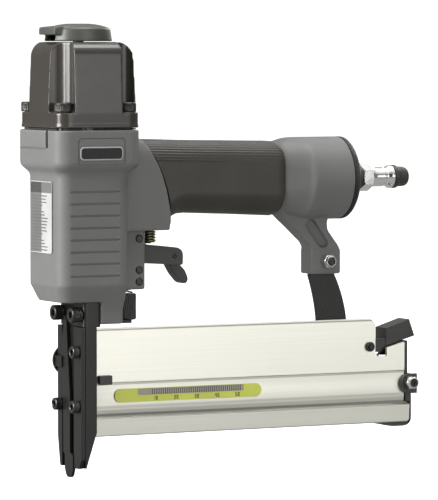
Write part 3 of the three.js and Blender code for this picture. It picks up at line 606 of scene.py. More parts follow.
def make_cap():
    low, high = CAP
    bottom, top = low.z, high.z
    floor = 203.4
    shoulder = 8.0
    taper = 1.4

    def section(z, inset, radius):
        return (z, (low.x + inset, high.x - inset), (low.y + inset, high.y - inset), radius)

    sections = [section(bottom, 0, 8), section(floor, 0, 8), section(top - shoulder, taper, 8)]
    for step in range(1, 9):
        turn = step / 8 * math.pi / 2
        rise, inset = 1 - math.sin(turn), 1 - math.cos(turn)
        sections.append(section(top - shoulder * rise, taper + shoulder * inset, 7))
    shell = loft(sections, "Z", 10)
    for side in (-1, 1):
        for x, y, bolt_x in ((-14.7, 13.2, -BOLT_X), (14.3, 20, BOLT_X)):
            outer_x = math.copysign(40, bolt_x)
            bend = 7 if bolt_x < 0 else 5
            plan = fillet(rectangle(x, outer_x, side * y, side * 40), [bend * 1.3, 0, 0, 0], steps=10)
            pocket = prism(plan, floor, 260, "Z")
            cut(shell, pocket, bar("Z", (bolt_x, side * BOLT_Y), 5.7, floor, 260))
    bead = loft([section(bottom + 0.1, -0.25, 8.2), section(bottom + 1.5, -0.25, 8.2)], "Z", 10)
    cast(join(shell, bead), 0.45, 3)
    cut(shell, lathe([(0, 190), (BORE, 190), (BORE, 203), (14.2, 206), (14.2, 233), (0, 236)], segments=96),
        *[bar("Z", bolt, 3.3, 190, floor + 1) for bolt in CAP_BOLTS],
        bar("Z", (0, 0), 3.3, 230, 250), *[bar("Z", (-5, y), 2.6, 228, 250) for y in (9, -9)])
    stand_in(shell, "cylinder_cap", "cap_casting", CAP_PAINT, sharp=50)

    low, high = node_box("cap_gasket")
    inset = 0.35
    plan = ((low.x + inset, high.x - inset), (low.y + inset, high.y - inset), 8)
    gasket = loft([(low.z, *plan), (high.z, *plan)], "Z")
    cut(gasket, bar("Z", (0, 0), BORE, 190, 200, segments=96),
        *[bar("Z", bolt, 3.8, 190, 200) for bolt in CAP_BOLTS])
    stand_in(gasket, "cap_gasket", "cap_gasket_sheet", GASKET)

    for number, (x, y) in enumerate(CAP_BOLTS, 1):
        bolt = along_axis(cap_screw(5, 5.4, 3, 27), "Z", (x, y, floor + 0.3))
        stand_in(bolt, f"cap_bolt_{number}", f"cap_screw_{number}", SCREW_BLACK)


# ---------------- body casting

ENGINE = {"front": -21.7, "rear": 21.6, "half": 22.9}
BLOCK = {"front": -25.6, "rear": 26.4, "half": 28.6}
BULGE_Z = 164.6
BULGE_RADIUS = 23.7
RIM_X = 163.3
LIP_Z = 137.4
PIVOT = Vector((31.2, 0, 132.9))
HANGER_BOLT = (154.0, 117.0)
LUG_Z = 123.4
END_BOLT = (205.3, 45.6)
VALVE = (43, 0)
GUIDE_PINS = {"guide_pin_lower": 108.8, "guide_pin_upper": 115.4}
NOSE_BOLTS = {"nose_bolt_left": 11.6, "nose_bolt_right": -11.6}
NOSE_BOLT_Z = 91.4
NOSE_DOWEL = (11.5, 0)
PLATE_SCREWS = {"plate_screw_middle": (-11.6, 70.6), "plate_screw_left": (11.6, 40.2),
                "plate_screw_right": (-11.6, 40.2)}


def root_outline(offset=0.0):
    """Side outline of the handle root, whose curved rear edge is the seam that meets the sleeve."""
    seam = [(48.3, LIP_Z), (49.4, 143), (48.9, 148.5), (48.1, 153), (46.2, 161.5), (43.9, 168), (41.2, 174),
            (37.5, 180), (33.9, 185.6), (31.4, 188.8)]
    shifted = [(x + offset, z) for x, z in seam]
    return [(6, LIP_Z), *shifted, (28, 191.6), (26.6, SEAM_Z), (6, SEAM_Z)]


def engine_block():
    front, rear, half = ENGINE["front"], ENGINE["rear"], ENGINE["half"]
    full = ((front, rear), (-half, half))
    wide = ((BLOCK["front"], BLOCK["rear"]), (-BLOCK["half"], BLOCK["half"]))
    return loft([
        (98.4, (front + 3.6, rear), (-half + 4.6, half - 4.6), 6),
        (107.6, *full, 7),
        (168.3, *full, 7),
        (170.2, (front - 0.6, rear + 0.6), (-half - 0.9, half + 0.9), 7.4),
        (173.6, (BLOCK["front"] + 0.5, BLOCK["rear"] - 0.4), (0.8 - BLOCK["half"], BLOCK["half"] - 0.8), 8),
        (175.2, *wide, 8),
        (SEAM_Z, *wide, 8),
    ], "Z")


def handle_root():
    root = loft([
        (6, (-20.5, 20.5), (118, 198), 12),
        (30, (-18.6, 18.6), (118, 191), 12),
        (54, (-16.5, 16.5), (118, 188), 12),
    ], "X", 12)
    return common(root, prism(root_outline(), -30, 30, "Y"))


def rear_bulge():
    """The neck behind the sleeve, which is narrower than the round barrel that it runs into."""
    neck = [(117, 12.6, 150, 183, 10), (120.5, 14, 147.4, 184.6, 12.4), (124, 16.2, 145.2, 186.4, 15),
            (127, 17.3, 143.9, 187.4, 16.6), (130, 18.3, 142.7, 188, 17.9), (133, 19.2, 141.9, 188.2, 19),
            (135, 20, 141.4, 188.3, 19.9), (136.2, 21, 141.1, 188.3, 20.9), (137, 22.3, 141, 188.3, 22.2),
            (137.7, 23.3, 140.9, 188.3, 23.2)]
    neck += [(x, BULGE_RADIUS, 140.9, 188.3, 23.65) for x in (138.8, 150, RIM_X)]
    sections = []
    for x, half, low, high, radius in neck:
        sections.append((x, (-half, half), (low, high), min(radius, (high - low) / 2 - 0.02)))
    return loft(sections, "X", 20)


def hanger_arm():
    outline = fillet([(118, 150), (143.7, 126.3), (143.7, 109.6), (162.8, 109.6), (162.8, 124.4),
                      (154.4, 135.4), (154.4, 144), (140, 154), (118, 154)],
                     [0, 3, 0.8, 1.4, 2, 2.5, 1, 0, 0])
    arm = prism(outline, -6.7, 6.7, "Y")
    for side in (-1, 1):
        cut(arm, box(118, 170, *sorted((side * 6.15, side * 8)), LUG_Z, 140))
    slot = [(141.6, 141.4), (146, 140.6), (155.4, 127.8), (154.6, 125), (150, 125), (141, 137)]
    for side in (-1, 1):
        cut(arm, prism(fillet(slot, 1.3), *sorted((side * 3.4, side * 8)), "Y"))
    return arm


def make_body():
    body = engine_block()
    spine = prism(fillet(rectangle(8, 34.8, 104.4, 150), [0, 1.2, 0, 0]), -13, 13, "Y")
    lobe = loft([(85.8, (6.3, 19.6), (-15.5, 15.5), 1.2), (86.4, (5.9, 20), (-15.9, 15.9), 1.2),
                 (92.6, (5.9, 20), (-15.9, 15.9), 1.2), (96, (5.9, 20), (-17, 17), 1.2),
                 (103, (5.9, 20), (-20.6, 20.6), 1.2)], "Z")
    core = loft([(26, (-13, 13), (150, 183.6), 10), (122, (-13, 13), (150, 183.2), 10)], "X")
    pad = prism(fillet(rectangle(-12.6, 20.4, 184, SEAM_Z), [1.2, 1.2, 0, 0]),
                BLOCK["front"] - 0.8, BLOCK["front"] + 1, "X")
    join(body, spine, lobe, handle_root(), core, rear_bulge(), hanger_arm(), pad)
    cut(body, box(21.8, 40, -8.4, 8.4, 80, LIP_Z))
    bore = bar("Z", (0, 0), BORE, 103, SEAM_Z + 1, segments=96)
    airway = lathe([(0, 18), (9, 18), (9, 120), (19, 146), (21, 150), (21, RIM_X + 1), (0, RIM_X + 1)],
                   "X", (0, 166), 64)
    cut(body, bore, airway, bar("Z", (-1.7, 0), 5, 90, 104), bar("Z", VALVE, 4.3, LIP_Z - 1, 160))
    cast(body, 0.62, 4)
    strap_slot = box(144.9, 164, -1.8, 1.8, 100, 122.5)
    holes = [bar("Y", HANGER_BOLT, 2.4, -20, 20), bar("Z", NOSE_DOWEL, 1.9, 84, 93)]
    holes += [bar("Y", (PIVOT.x, z), 2.3, -20, 20) for z in (PIVOT.z, *GUIDE_PINS.values())]
    holes += [bar("Z", bolt, 3.3, 174, SEAM_Z + 1) for bolt in CAP_BOLTS]
    holes += [bar("X", (y, NOSE_BOLT_Z), 2.8, 4, 18.5) for y in NOSE_BOLTS.values()]
    for index in range(8):
        z = 112.6 + index * 6.65
        groove = fillet(rectangle(-15.5, 14.5, z, z + 1.3), 0.55)
        for side in (-1, 1):
            face = side * ENGINE["half"]
            holes.append(prism(groove, *sorted((face - side * 0.6, face + side * 3)), "Y"))
    face = -BLOCK["half"]
    ring = prism(rounded_rectangle(-13.5, 15.3, 174.6, 189.6, 2.2), face - 3, face + 0.45, "Y")
    middle = prism(rounded_rectangle(-12.9, 14.7, 175.2, 189, 1.7), face - 4, face + 1, "Y")
    front = BLOCK["front"]
    holes += [cut(ring, middle), box(front - 2, front + 1.1, -15.4, -12.9, 184, SEAM_Z + 1),
              box(front - 2, front + 0.25, -12.9, 20.8, 183.2, 183.9)]
    cut(body, strap_slot, merged(holes))
    stand_in(body, "body_housing", "body_casting", GREY_PAINT, sharp=50)


def make_grip():
    """The rubber sleeve, with fine ribs along its upper half."""
    stations = []
    points = 72
    shape = [(26, 16.5, 141.6, 188.4, 12), (49, 16.5, 142, 187.8, 12), (51.5, 16.5, 142.8, 187.7, 12),
             (54, 16.5, 144.6, 187.6, 12), (57, 16.5, 146, 187.5, 12), (62, 16.5, 146.4, 187.3, 12),
             (90, 16.5, 145.2, 186.8, 12.4), (117, 16.5, 143.8, 186.3, 13), (120, 16.2, 144.3, 186.1, 13),
             (121.8, 15.6, 145.4, 185.5, 13), (123.4, 14.4, 147.8, 184.4, 12.8)]
    for x, half, low, high, radius in shape:
        ring = rounded_rectangle(-half, half, low, high, radius, points)
        middle = (low + high) / 2
        walked = 0.0
        rippled = []
        for i, (y, z) in enumerate(ring):
            before, after = ring[i - 1], ring[(i + 1) % len(ring)]
            walked += math.dist(ring[i - 1], (y, z)) if i else 0
            normal = Vector((after[1] - before[1], before[0] - after[0])).normalized()
            upper = min(max((z - middle - 3) / 3, 0), 1)
            depth = 0.22 * upper * (0.5 - 0.5 * math.cos(2 * math.pi * walked / 1.7)) if x < 123 else 0
            rippled.append((x, y - normal.x * depth, z - normal.y * depth))
        stations.append(rippled)
    sleeve = skin(stations)
    tunnel = loft([(20, (-13.3, 13.3), (149.6, 184), 10), (117, (-13.3, 13.3), (149.6, 183.6), 10),
                   (121.4, (-14.2, 14.2), (147.6, 184.6), 12.6), (130, (-16, 16), (146, 186), 13)], "X")
    cut(sleeve, tunnel, prism(root_outline(0.8), -40, 40, "Y"))
    stand_in(sleeve, "grip_sleeve", "sleeve", RUBBER, sharp=60)


def make_rear():
    centre = (0, BULGE_Z)
    gasket = lathe([(20.6, RIM_X + 0.3), (BULGE_RADIUS, RIM_X + 0.3), (BULGE_RADIUS, RIM_X + 1.3),
                    (20.6, RIM_X + 1.3), (20.6, RIM_X + 0.3)], "X", centre, 128)
    stand_in(gasket, "end_cap_gasket", "end_gasket", GASKET)
    plug = node_box("air_plug")[0].x
    hex_x = 178
    rim = RIM_X
    cap_profile = fillet([(5.4, rim + 1.6), (BULGE_RADIUS, rim + 1.6), (BULGE_RADIUS, rim + 2.8),
                          (21.4, rim + 4.6), (15, rim + 5.4), (9.4, rim + 6.4), (7.6, rim + 8.6),
                          (7.4, hex_x - 0.3), (5.4, hex_x - 0.3)],
                         [0, 0.3, 0.8, 1.2, 1, 1.6, 1.2, 0.5, 0], closed=False, steps=4)
    stand_in(lathe([*cap_profile, cap_profile[0]], "X", centre, 128), "end_cap", "end_cover", PLASTIC)
    nut = along_axis(hexagon(8.1, 6.8, 1.5), "X", (hex_x, 0, BULGE_Z))
    neck = lathe(fillet([(0, plug), (5, plug), (5, hex_x + 6), (6.4, hex_x + 6), (5.6, hex_x + 9),
                         (5.6, hex_x + 15.4), (5.1, hex_x + 16.4), (5.1, hex_x + 17.4), (6.6, hex_x + 19.4),
                         (6.6, hex_x + 21.2), (4, hex_x + 21.2), (4, hex_x + 28.4), (0, hex_x + 28.4)],
                        [0, 0, 0, 0.3, 1, 0.4, 0.3, 0.3, 0.4, 0.4, 0.3, 0.6, 0], closed=False),
                 "X", centre, 96)
    fitting = cut(join(nut, neck), bar("X", centre, 2.6, plug - 1, hex_x + 31))
    stand_in(fitting, "air_plug", "air_fitting", CHROME, sharp=30)
    sleeve = fillet([(4.3, hex_x + 21.5), (6.7, hex_x + 21.5), (6.7, hex_x + 23.8), (5.9, hex_x + 24.6),
                     (5.6, hex_x + 29.8), (4.6, hex_x + 31.3), (0, hex_x + 31.4), (0, hex_x + 29.4),
                     (4.3, hex_x + 29.4), (4.3, hex_x + 21.5)],
                    [0, 0.5, 0.5, 0.5, 1, 1, 0, 0, 0.5, 0], closed=False)
    stand_in(lathe(sleeve, "X", centre, 96), "plug_cover", "dust_cover", RUBBER)


# ---------------- trigger group


def make_trigger():
    x, z = PIVOT.x, PIVOT.z
    tongue_pin = (55.7, 122.2)
    outline = fillet([(x - 3.8, z - 1.5), (x + 2, 119), (37.4, 118.6), (60.2, 117.2), (60.9, 118),
                      (61, 123.6), (60, 125.8), (57.6, 127.1), (38, 129.2), (x + 4.4, z - 1),
                      (x + 3, z + 3.6), (x - 2, z + 3.6), (x - 3.8, z + 1.5)],
                     [1, 1, 1, 0.6, 0.6, 1.4, 1.4, 1.4, 1, 1, 1.4, 1.4, 1.4])
    inner = [(x - 8, 116.8), (x + 4.6, 116.8), (x + 5.4, 121), (53, 120.5), (53, 116), (70, 110), (70, 112),
             (57, 124), (40.5, 126.6), (x + 3.4, 128.4), (x - 8, 128.4)]
    lever = prism(outline, -8, 8, "Y")
    cut(lever, prism(rectangle(x - 8, 36, 110, 140), -5.4, 5.4, "Y"),
        prism(inner, -4.4, 4.4, "Y"), box(52, 64, -4.4, 4.4, 112, 124.4),
        bar("Y", (x, z), 2.3, -20, 20), bar("Y", tongue_pin, 1.25, -20, 20))
    bevelled(lever, 0.45, 3)
    stand_in(lever, "trigger", "trigger_lever", TRIGGER_PLASTIC)
    tongue = prism(fillet([(53.8, 123.9), (57.4, 123.9), (61, 117.2), (64.2, 114), (66.2, 109.4),
                           (65.6, 107), (63.6, 106.3), (61.6, 107.2), (57.4, 112), (54.6, 116.8),
                           (53.6, 120.6)], 1.2), -4, 4, "Y")
    bevelled(cut(tongue, bar("Y", tongue_pin, 1.25, -20, 20)), 0.4, 3)
    stand_in(tongue, "trigger_tongue", "trigger_finger", TRIGGER_PLASTIC)
    stand_in(bar("Y", tongue_pin, 0.95, -8, 8, 0.2), "tongue_pin", "finger_pin", SCREW_BLACK)
    for name, level in {"trigger_pin": z, **GUIDE_PINS}.items():
        stand_in(bar("Y", (x, level), 2, -13.3, 13.3, 0.35), name, f"{name}_turned", SCREW_BLACK)
    stand_in(bar("Z", VALVE, 1.9, 129.4, 150, 0.4), "valve_stem", "stem", SCREW_BLACK)
    low = LIP_Z + 0.3
    sleeve = lathe([(2.2, low), (3.7, low), (4, low + 0.3), (4, 154), (2.2, 154), (2.2, low)], "Z", VALVE)
    stand_in(sleeve, "valve_body", "valve_sleeve", BRASS)
    anchor = Vector((*VALVE, 136.9))
    spring = coil(3.9, 0.5, 129.7, anchor.z, 4.5, "Z", VALVE)
    stand_in(spring, "valve_spring", "trigger_spring", BRASS, sharp=80)
    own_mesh(spring)


# ---------------- nose and contact arm


def make_nose():
    half = 15.5
    side = [(-3, 5.8), (-2.6, 5.8), (3.8, 25.6), (3.8, 84.9), (-3, 84.9)]
    middle = fillet([(-3, 5.2), (2, 5.2), (5.2, 20), (5.2, 50), (3.8, 52), (3.8, 84.9), (-3, 84.9)],
                    [0, 1, 1, 1, 0, 0, 0])
    flange = prism(fillet(rectangle(-4.4, 5.4, -15.9, 15.9), [2.6, 0.8, 0.8, 2.6]), 84.8, 98.1, "Z")
    nose = prism(side, -half, half, "Y")
    join(nose, prism(middle, -5.4, 5.4, "Y"), flange, bar("Z", (-1.7, 0), 4.6, 97, 102.4))
    cut(nose, box(-2.6, -0.8, -3.1, 3.1, 0, 110), box(-1.5, 12, -1.6, 1.6, 26, 76),
        *[bar("X", (y, NOSE_BOLT_Z), 2.8, -8, 10) for y in NOSE_BOLTS.values()],
        *[bar("X", centre, 2.3, -8, 3) for centre in PLATE_SCREWS.values()])
    bevelled(nose, 0.4, 3)
    stand_in(nose, "nose_body", "nose_block", BLACK_OXIDE)

    outline = fillet([(-half, 10.4), (3 - half, 5.5), (half - 3, 5.5), (half, 22), (half, 84.4),
                      (-half, 84.4)], [0.6, 1, 1, 1, 0.4, 0.4])
    cover = prism(outline, -5.9, -3.3, "X")
    cut(cover, box(-7, -4.2, -6.1, 9.7, 0, 90),
        *[bar("X", centre, 2.3, -8, 3) for centre in PLATE_SCREWS.values()])
    bevelled(cover, 0.35, 3)
    stand_in(cover, "front_plate", "nose_cover", BLACK_OXIDE)

    for name, y in NOSE_BOLTS.items():
        screw = along_axis(washer_screw(4.25, 6.2, 2.5, 20), "X", (-4.7, y, NOSE_BOLT_Z), -1)
        stand_in(screw, name, f"{name}_socket", SCREW_BLACK)
    for name, centre in PLATE_SCREWS.items():
        screw = along_axis(cap_screw(3.5, 4, 2, 8), "X", (-6.2, *centre), -1)
        stand_in(screw, name, f"{name}_socket", SCREW_BLACK)
    stand_in(bar("Z", NOSE_DOWEL, 1.6, 83.2, 92.6, 0.3), "nose_dowel", "dowel", SCREW_BLACK)


def make_yoke():
    wheel = (30, 0)
    strip = [(7, 90), (7, 84), (9.3, 76), (9.3, 49), (7.6, 41), (7.4, 14), (5.4, 12.4), (5.4, 4.6),
             (3.8, 1.4), (1.6, 0), (-1.6, 0), (-3.8, 1.4), (-5.4, 4.6), (-5.4, 12.4), (-1.4, 14),
             (-1.4, 46), (2.8, 84), (2.8, 90)]
    arm = prism(strip, -6.3, -4.7, "X")
    y0, y1 = 16.4, 18.2
    turns = [0.93 - 0.186 * i for i in range(11)]
    ear = [(0.9 - 8.9 * math.cos(turn), 64.2 + 8.9 * math.sin(turn)) for turn in turns]
    cheek = [*ear, (6, 62), (12, 85), (31.8, 85), (31.8, 86.8), (8.4, 86.8)]
    join(arm, box(-7.2, -6.1, 7.6, y1, 61, 67), prism(cheek, y0, y1, "Y"),
         box(22.1, 31.8, -2, y1, 85, 86.8), box(22.1, 24.3, -4, 4, 86, 119.6), bar("Z", wheel, 2, 86, 100))
    bevelled(arm, 0.3, 3)
    stand_in(arm, "contact_yoke", "contact_arm", BLACK_OXIDE)

    teeth = 26
    twist = 0.5  # radians that the ribs turn from the wheel's bottom to its top

    def knurl(angle, radius, z):
        if radius < 4.6 or not 87.9 < z < 100.9:
            return radius
        return radius - 0.4 * abs(math.sin((angle + (z - 87) / 14.6 * twist) * teeth / 2))

    walls = [(5, 88 + i * 0.8) for i in range(17)]
    profile = [(2.3, 87), (4.4, 87), (4.9, 87.6), *walls, (4.9, 101.1), (4.7, 101.6), (4.1, 101.6),
               (4.1, 89), (2.3, 89), (2.3, 87)]
    turned = lathe(profile, "Z", wheel, teeth * 8, knurl)
    stand_in(turned, "depth_wheel", "knurled_wheel", PLASTIC, sharp=60)
    anchor = Vector((*wheel, 106.5))
    spring = coil(3.1, 0.5, 89.3, anchor.z, 7, "Z", wheel)
    stand_in(spring, "yoke_spring", "arm_spring", STEEL, sharp=80)
    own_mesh(spring)


# ---------------- magazine


LATCH_PIVOT = (180, 67)
STRAP_RIVETS = [(x, 75.6) for x in (154, 166)]
SCALE_X = (31.4, 98.1)
FEED_ROD = (-3.5, 50)


def curve(start, control, end):
    """Eight points along a curve that leaves start towards control and arrives at end."""
    points = []
    for t in (i / 8 for i in range(1, 9)):
        u = 1 - t
        points.append(tuple(u * u * a + 2 * u * t * b + t * t * c for a, b, c in zip(start, control, end)))
    return points


def make_magazine():
    low, high = node_box("magazine_cover")
    bottom, top, near = low.z, high.z, low.y
    front, rear = low.x, 206.7
    section = [(near + 0.55, bottom), (6.6, bottom), (6.6, 33), (5, 33), (5, bottom + 1.6),
               (near + 1.8, bottom + 1.6), (near + 1.8, top - 1.6), (near + 2.8, top - 1.6),
               (near + 2.8, top), (near, top), (near, 52.9), (near + 0.15, 52.6), (near + 0.5, 52.1),
               (near + 0.5, 39.2), (near + 1.2, 35.2), (near + 1.2, 33.5), (near, 33)]
    side = fillet([(front, bottom), (rear, bottom), (rear, 33.6), (203.3, 34.4), (203.3, 69.2),
                   (191.5, 66), (191.5, 61.2), (184, 61.2), (184, top - 3), (181, top), (front, top)],
                  [0.4, 2.2, 1.6, 0.3, 1, 0.6, 0.8, 0.8, 1, 1.4, 0.6])
    cover = common(prism(section, front, rear, "X"), prism(side, -30, 30, "Y"))
    slot = fillet(rectangle(*SCALE_X, 45.2, 48.6), 1)
    cut(cover, prism(slot, near - 1, near + 3, "Y"), bar("Y", LATCH_PIVOT, 1.9, -20, -6),
        bar("Y", END_BOLT, 2.4, -20, -6))
    bevelled(cover, 0.25, 2)
    stand_in(cover, "magazine_cover", "magazine_slide_plate", SLIDE_ALUMINIUM, sharp=35)

    wall = prism(fillet([(6.4, 25), (198, 25), (198, 60), (183, 60), (183, 80), (181, 82), (6.4, 82)],
                        [0.4, 0.8, 0.8, 0.4, 0.8, 0.8, 0.6]), 1.8, 3.6, "Y")
    join(wall, box(6.4, 198, -5.4, 2, 35.6, 37.4), box(6.4, 198, -5.4, -4, 30, 36))
    cut(wall, *[bar("Y", rivet, 1.9, -10, 20) for rivet in STRAP_RIVETS])
    bevelled(wall, 0.25, 2)
    stand_in(wall, "magazine_rail", "magazine_rail_plate", ALUMINIUM, sharp=35)

    clip = prism(fillet(rectangle(6.6, 14.6, 51.8, 57), 0.8), near - 3.2, near - 0.3, "Y")
    stand_in(bevelled(clip, 0.5, 3), "front_clip", "front_catch", PLASTIC)

    strap = [(147.4, 122), (145.2, 108.6), *curve((145.2, 108.6), (149.6, 95), (150.6, 82.4)),
             (150.6, 71), (169.6, 71), (169.6, 82.4), *curve((169.6, 82.4), (168, 96), (161.8, 108.6)),
             (160.4, 122)]
    plate = prism(strap, -1.5, 1.5, "Y")
    cut(plate, bar("Y", HANGER_BOLT, 2.4, -20, 20),
        *[bar("Y", rivet, 1.9, -10, 20) for rivet in STRAP_RIVETS])
    stand_in(bevelled(plate, 0.3, 2), "support_strap", "hanger_strap", BLACK_OXIDE)

    for name, nut_name, body, (x, z), y_head, y_nut, length in (
            ("strap_bolt", "strap_nut", "housing", HANGER_BOLT, 7, -7, 19.6),
            ("end_bolt", "end_nut", "magazine", END_BOLT, 4.9, -12.6, 21.6)):
        screw = along_axis(cap_screw(3.5, 4, 2, length), "Y", (x, y_head, z))
        stand_in(screw, name, f"{name}_socket", SCREW_BLACK)
        nut = along_axis(lock_nut(4.04, 5.2, 2.5), "Y", (x, y_nut, z), -1)
        stand_in(nut, nut_name, f"{nut_name}_chromed", CHROME, sharp=30)
        insert = lathe([(2.02, 0.2), (2.45, 0.2), (2.45, 4.9), (1.2, 4.9), (1.2, 4.7), (2.02, 4.6),
                        (2.02, 0.2)])
        extra_piece(along_axis(insert, "Y", (x, y_nut, z), -1), f"{nut_name}_insert", body, GASKET)


def make_end_block():
    block = prism([(199, 26), (206.4, 26), (206.4, 69.6), (199, 68)], -7.9, 4.6, "Y")
    shoe = prism(fillet([(187.4, 22.3), (191, 20.9), (196, 20.2), (203, 20.2), (206, 20.9),
                         (208, 23.4), (208, 39), (204, 40), (204.6, 34.7), (207, 34.4), (207, 22.3)],
                        [0, 1, 2, 1, 1.4, 1.4, 0.8, 0, 0, 0, 0]), -9.6, 6.4, "Y")
    turns = [math.pi * (0.5 + i / 24) for i in range(25)]
    arc = [(205.4 + 5.7 * math.cos(turn), 44.9 + 5.7 * math.sin(turn)) for turn in turns]
    ear = prism([(210.4, 39.2), (210.4, 50.6), *arc], -12.3, -10.3, "Y")
    join(block, shoe, ear, box(204.2, 210.2, -12, 4.6, 39.6, 50.2))
    cut(block, bar("Y", END_BOLT, 2.3, -30, 20), bar("X", FEED_ROD, 2.1, 190, 203))
    bevelled(block, 0.35, 3)
    stand_in(block, "end_block", "rear_block", PLASTIC)

    pusher = prism([(-7.4, 38), (1.2, 38), (1.2, 64), (-1, 64.4), (-7.4, 64.4)], 9, 34, "X")
    cut(pusher, bar("X", FEED_ROD, 2.1, 0, 40))
    stand_in(bevelled(pusher, 0.4, 3), "pusher", "strip_pusher", BLACK_OXIDE)
    stand_in(bar("X", FEED_ROD, 1.8, 8, 202.4, 0.4), "pusher_rod", "guide_rod", STEEL)
    spring_end = 198.4
    spring = coil(3, 0.4, 34.4, spring_end, 28, "X", FEED_ROD, 20, 6)
    stand_in(spring, "pusher_spring", "feed_spring", STEEL, sharp=80)
    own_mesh(spring)

    lever = prism([(193.2, 66.9), (212.2, 72.1), (208.6, 81.9), (193.2, 77.1)], -6, 6.4, "Y")
    arm = prism(fillet([(176.6, 65.2), (180, 63.4), (191, 63.4), (193.4, 66), (194, 71.2), (180, 70.6),
                        (176.6, 69)], [1, 1, 1, 0, 0, 1, 1]), -5.6, -2, "Y")
    join(lever, arm, box(191.8, 195.2, -1.8, 1.2, 61.2, 70))
    cut(lever, bar("Y", LATCH_PIVOT, 1.9, -20, 20))
    stand_in(bevelled(lever, 0.5, 3), "latch", "latch_lever", PLASTIC)
    x, z = LATCH_PIVOT
    pin = along_axis(cap_screw(2.8, 1.2, 1.5, 8.6), "Y", (x, -10.3, z), -1)
    stand_in(pin, "latch_pin", "latch_pivot", SCREW_BLACK)
    stand_in(coil(2, 0.4, 53.8, 62.8, 5, "Z", (187, -3.8)), "latch_spring", "catch_spring", STEEL, sharp=80)


# ---------------- plates and labels


def make_labels():
    low, high = node_box("badge_plate")
    face = low.y
    plate = prism(rounded_rectangle(low.x, high.x, low.z, high.z, 2.2), face + 0.15, high.y, "Y")
    stand_in(bevelled(plate, 0.12, 2), "badge_plate", "badge_rim", LABEL_PALE)
    panel = rounded_rectangle(low.x + 0.7, high.x - 0.7, low.z + 0.7, high.z - 0.7, 1.6)
    extra_piece(prism(panel, face, face + 0.2, "Y"), "badge_panel", "housing", BADGE)

    low, high = node_box("front_label")
    sheet = prism(rounded_rectangle(low.y, high.y, low.z, high.z, 1.5), low.x + 0.1, high.x, "X")
    stand_in(sheet, "front_label", "front_label_sheet", LABEL_PALE)
    header_z = high.z - 6.4
    middle_y = 0.6
    left_y, right_y, top_z, bottom_z = high.y - 0.3, low.y + 0.3, high.z - 0.5, low.z + 0.5
    for name, y0, y1, z0, z1, material in (
            ("front_label_header", middle_y, left_y, header_z, top_z, LABEL_DARK),
            ("front_label_title", right_y, middle_y, header_z, top_z, LABEL_GREY),
            ("front_label_panel", middle_y, left_y, bottom_z, header_z, LABEL_GREY)):
        panel = prism(rectangle(y0, y1, z0, z1), low.x + 0.04, low.x + 0.12, "X")
        extra_piece(panel, name, "housing", material)
    bars = []
    shares = (0.86, 0.9, 0.7, 0.62, 0.8, 0.88, 0.74, 0.55, 0.84)
    rows = 18
    left, widest = high.y - 1.1, high.y - low.y - 4
    for row in range(rows):
        z = header_z - (row + 1) * (header_z - low.z) / (rows + 1)
        right = left - shares[row * 4 % 9] * widest
        bars.append(box(low.x + 0.01, low.x + 0.06, right, left, z - 0.3, z + 0.3))
    extra_piece(merged(bars), "front_label_lines", "housing", LABEL_BARS)

    low, high = node_box("scale_label")
    face = low.y
    ring = prism(rounded_rectangle(low.x, high.x, low.z, high.z, 3.7), face + 0.1, high.y, "Y")
    x0, x1 = SCALE_X
    z0, z1 = 45, 48.7
    cut(ring, prism(rounded_rectangle(x0, x1, z0, z1, 0.9), -20, 0, "Y"))
    stand_in(ring, "scale_label", "scale_strip", LABEL_GREEN)
    glass = rounded_rectangle(x0 + 0.05, x1 - 0.05, z0 + 0.05, z1 - 0.05, 0.85)
    glass = prism(glass, face + 0.22, high.y + 0.35, "Y")
    extra_piece(glass, "scale_window", "magazine", LABEL_WINDOW)
    marks = []
    pale = []
    first, pitch = 40.6, 1.35
    for index in range(42):
        x = first + index * pitch
        marks.append(box(x - 0.2, x + 0.2, face + 0.14, face + 0.24, z0 + 0.3, z1 - 0.4))
        pale.append(box(x + pitch / 2 - 0.14, x + pitch / 2 + 0.14, face + 0.16, face + 0.24, 45.9, 47.6))
    for figure in range(5):
        marks += digits(42.5 + figure * 12.9, 42.1, 2.1, 10 + 10 * figure, face + 0.02, face + 0.12)
    extra_piece(merged(marks), "scale_print", "magazine", PRINT)
    extra_piece(merged(pale), "scale_gaps", "magazine", LABEL_PALE)


SEGMENTS = {"0": "abcdef", "1": "bc", "2": "abged", "3": "abgcd", "4": "fgbc", "5": "afgcd"}


def digits(x, z, height, number, y0, y1):
    """A number in plain bar strokes, standing on z and centred on x."""
    wide, stroke = height * 0.5, height * 0.16
    bars = []
    text = str(number)
    left = x - (len(text) * wide + (len(text) - 1) * wide * 0.5) / 2
    for place_index, digit in enumerate(text):
        u = left + place_index * wide * 1.5
        strokes = {"a": (0, wide, height - stroke, height), "b": (wide - stroke, wide, height / 2, height),
                   "c": (wide - stroke, wide, 0, height / 2), "d": (0, wide, 0, stroke),
                   "e": (0, stroke, 0, height / 2), "f": (0, stroke, height / 2, height),
                   "g": (0, wide, height / 2 - stroke / 2, height / 2 + stroke / 2)}
        for key in SEGMENTS[digit]:
            u0, u1, v0, v1 = strokes[key]
            bars.append(box(u + u0, u + u1, y0, y1, z + v0, z + v1))
    return bars


# ---------------- kept CAD nodes


def make_head_valve_spring():
    low, high = node_box("head_valve_spring")
    spring = coil(10.5, 0.8, low.z, high.z, 4)
    stand_in(spring, "head_valve_spring", "return_spring", STEEL, sharp=80)
    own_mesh(spring)


def dress_inner_nodes():
    """Materials on the CAD nodes that stay: the pieces inside the housing."""
    looks = {
        "head_valve_piston": ALUMINIUM, "cylinder_liner": STEEL, "liner_oring": GASKET,
        "drive_piston": ALUMINIUM, "piston_oring": GASKET, "driver_blade": STEEL, "bumper": RUBBER,
    }
    for node, material in looks.items():
        mesh = frame["nodes"][node].data
        mesh.materials.clear()
        mesh.materials.append(material)


# ---------------- stage


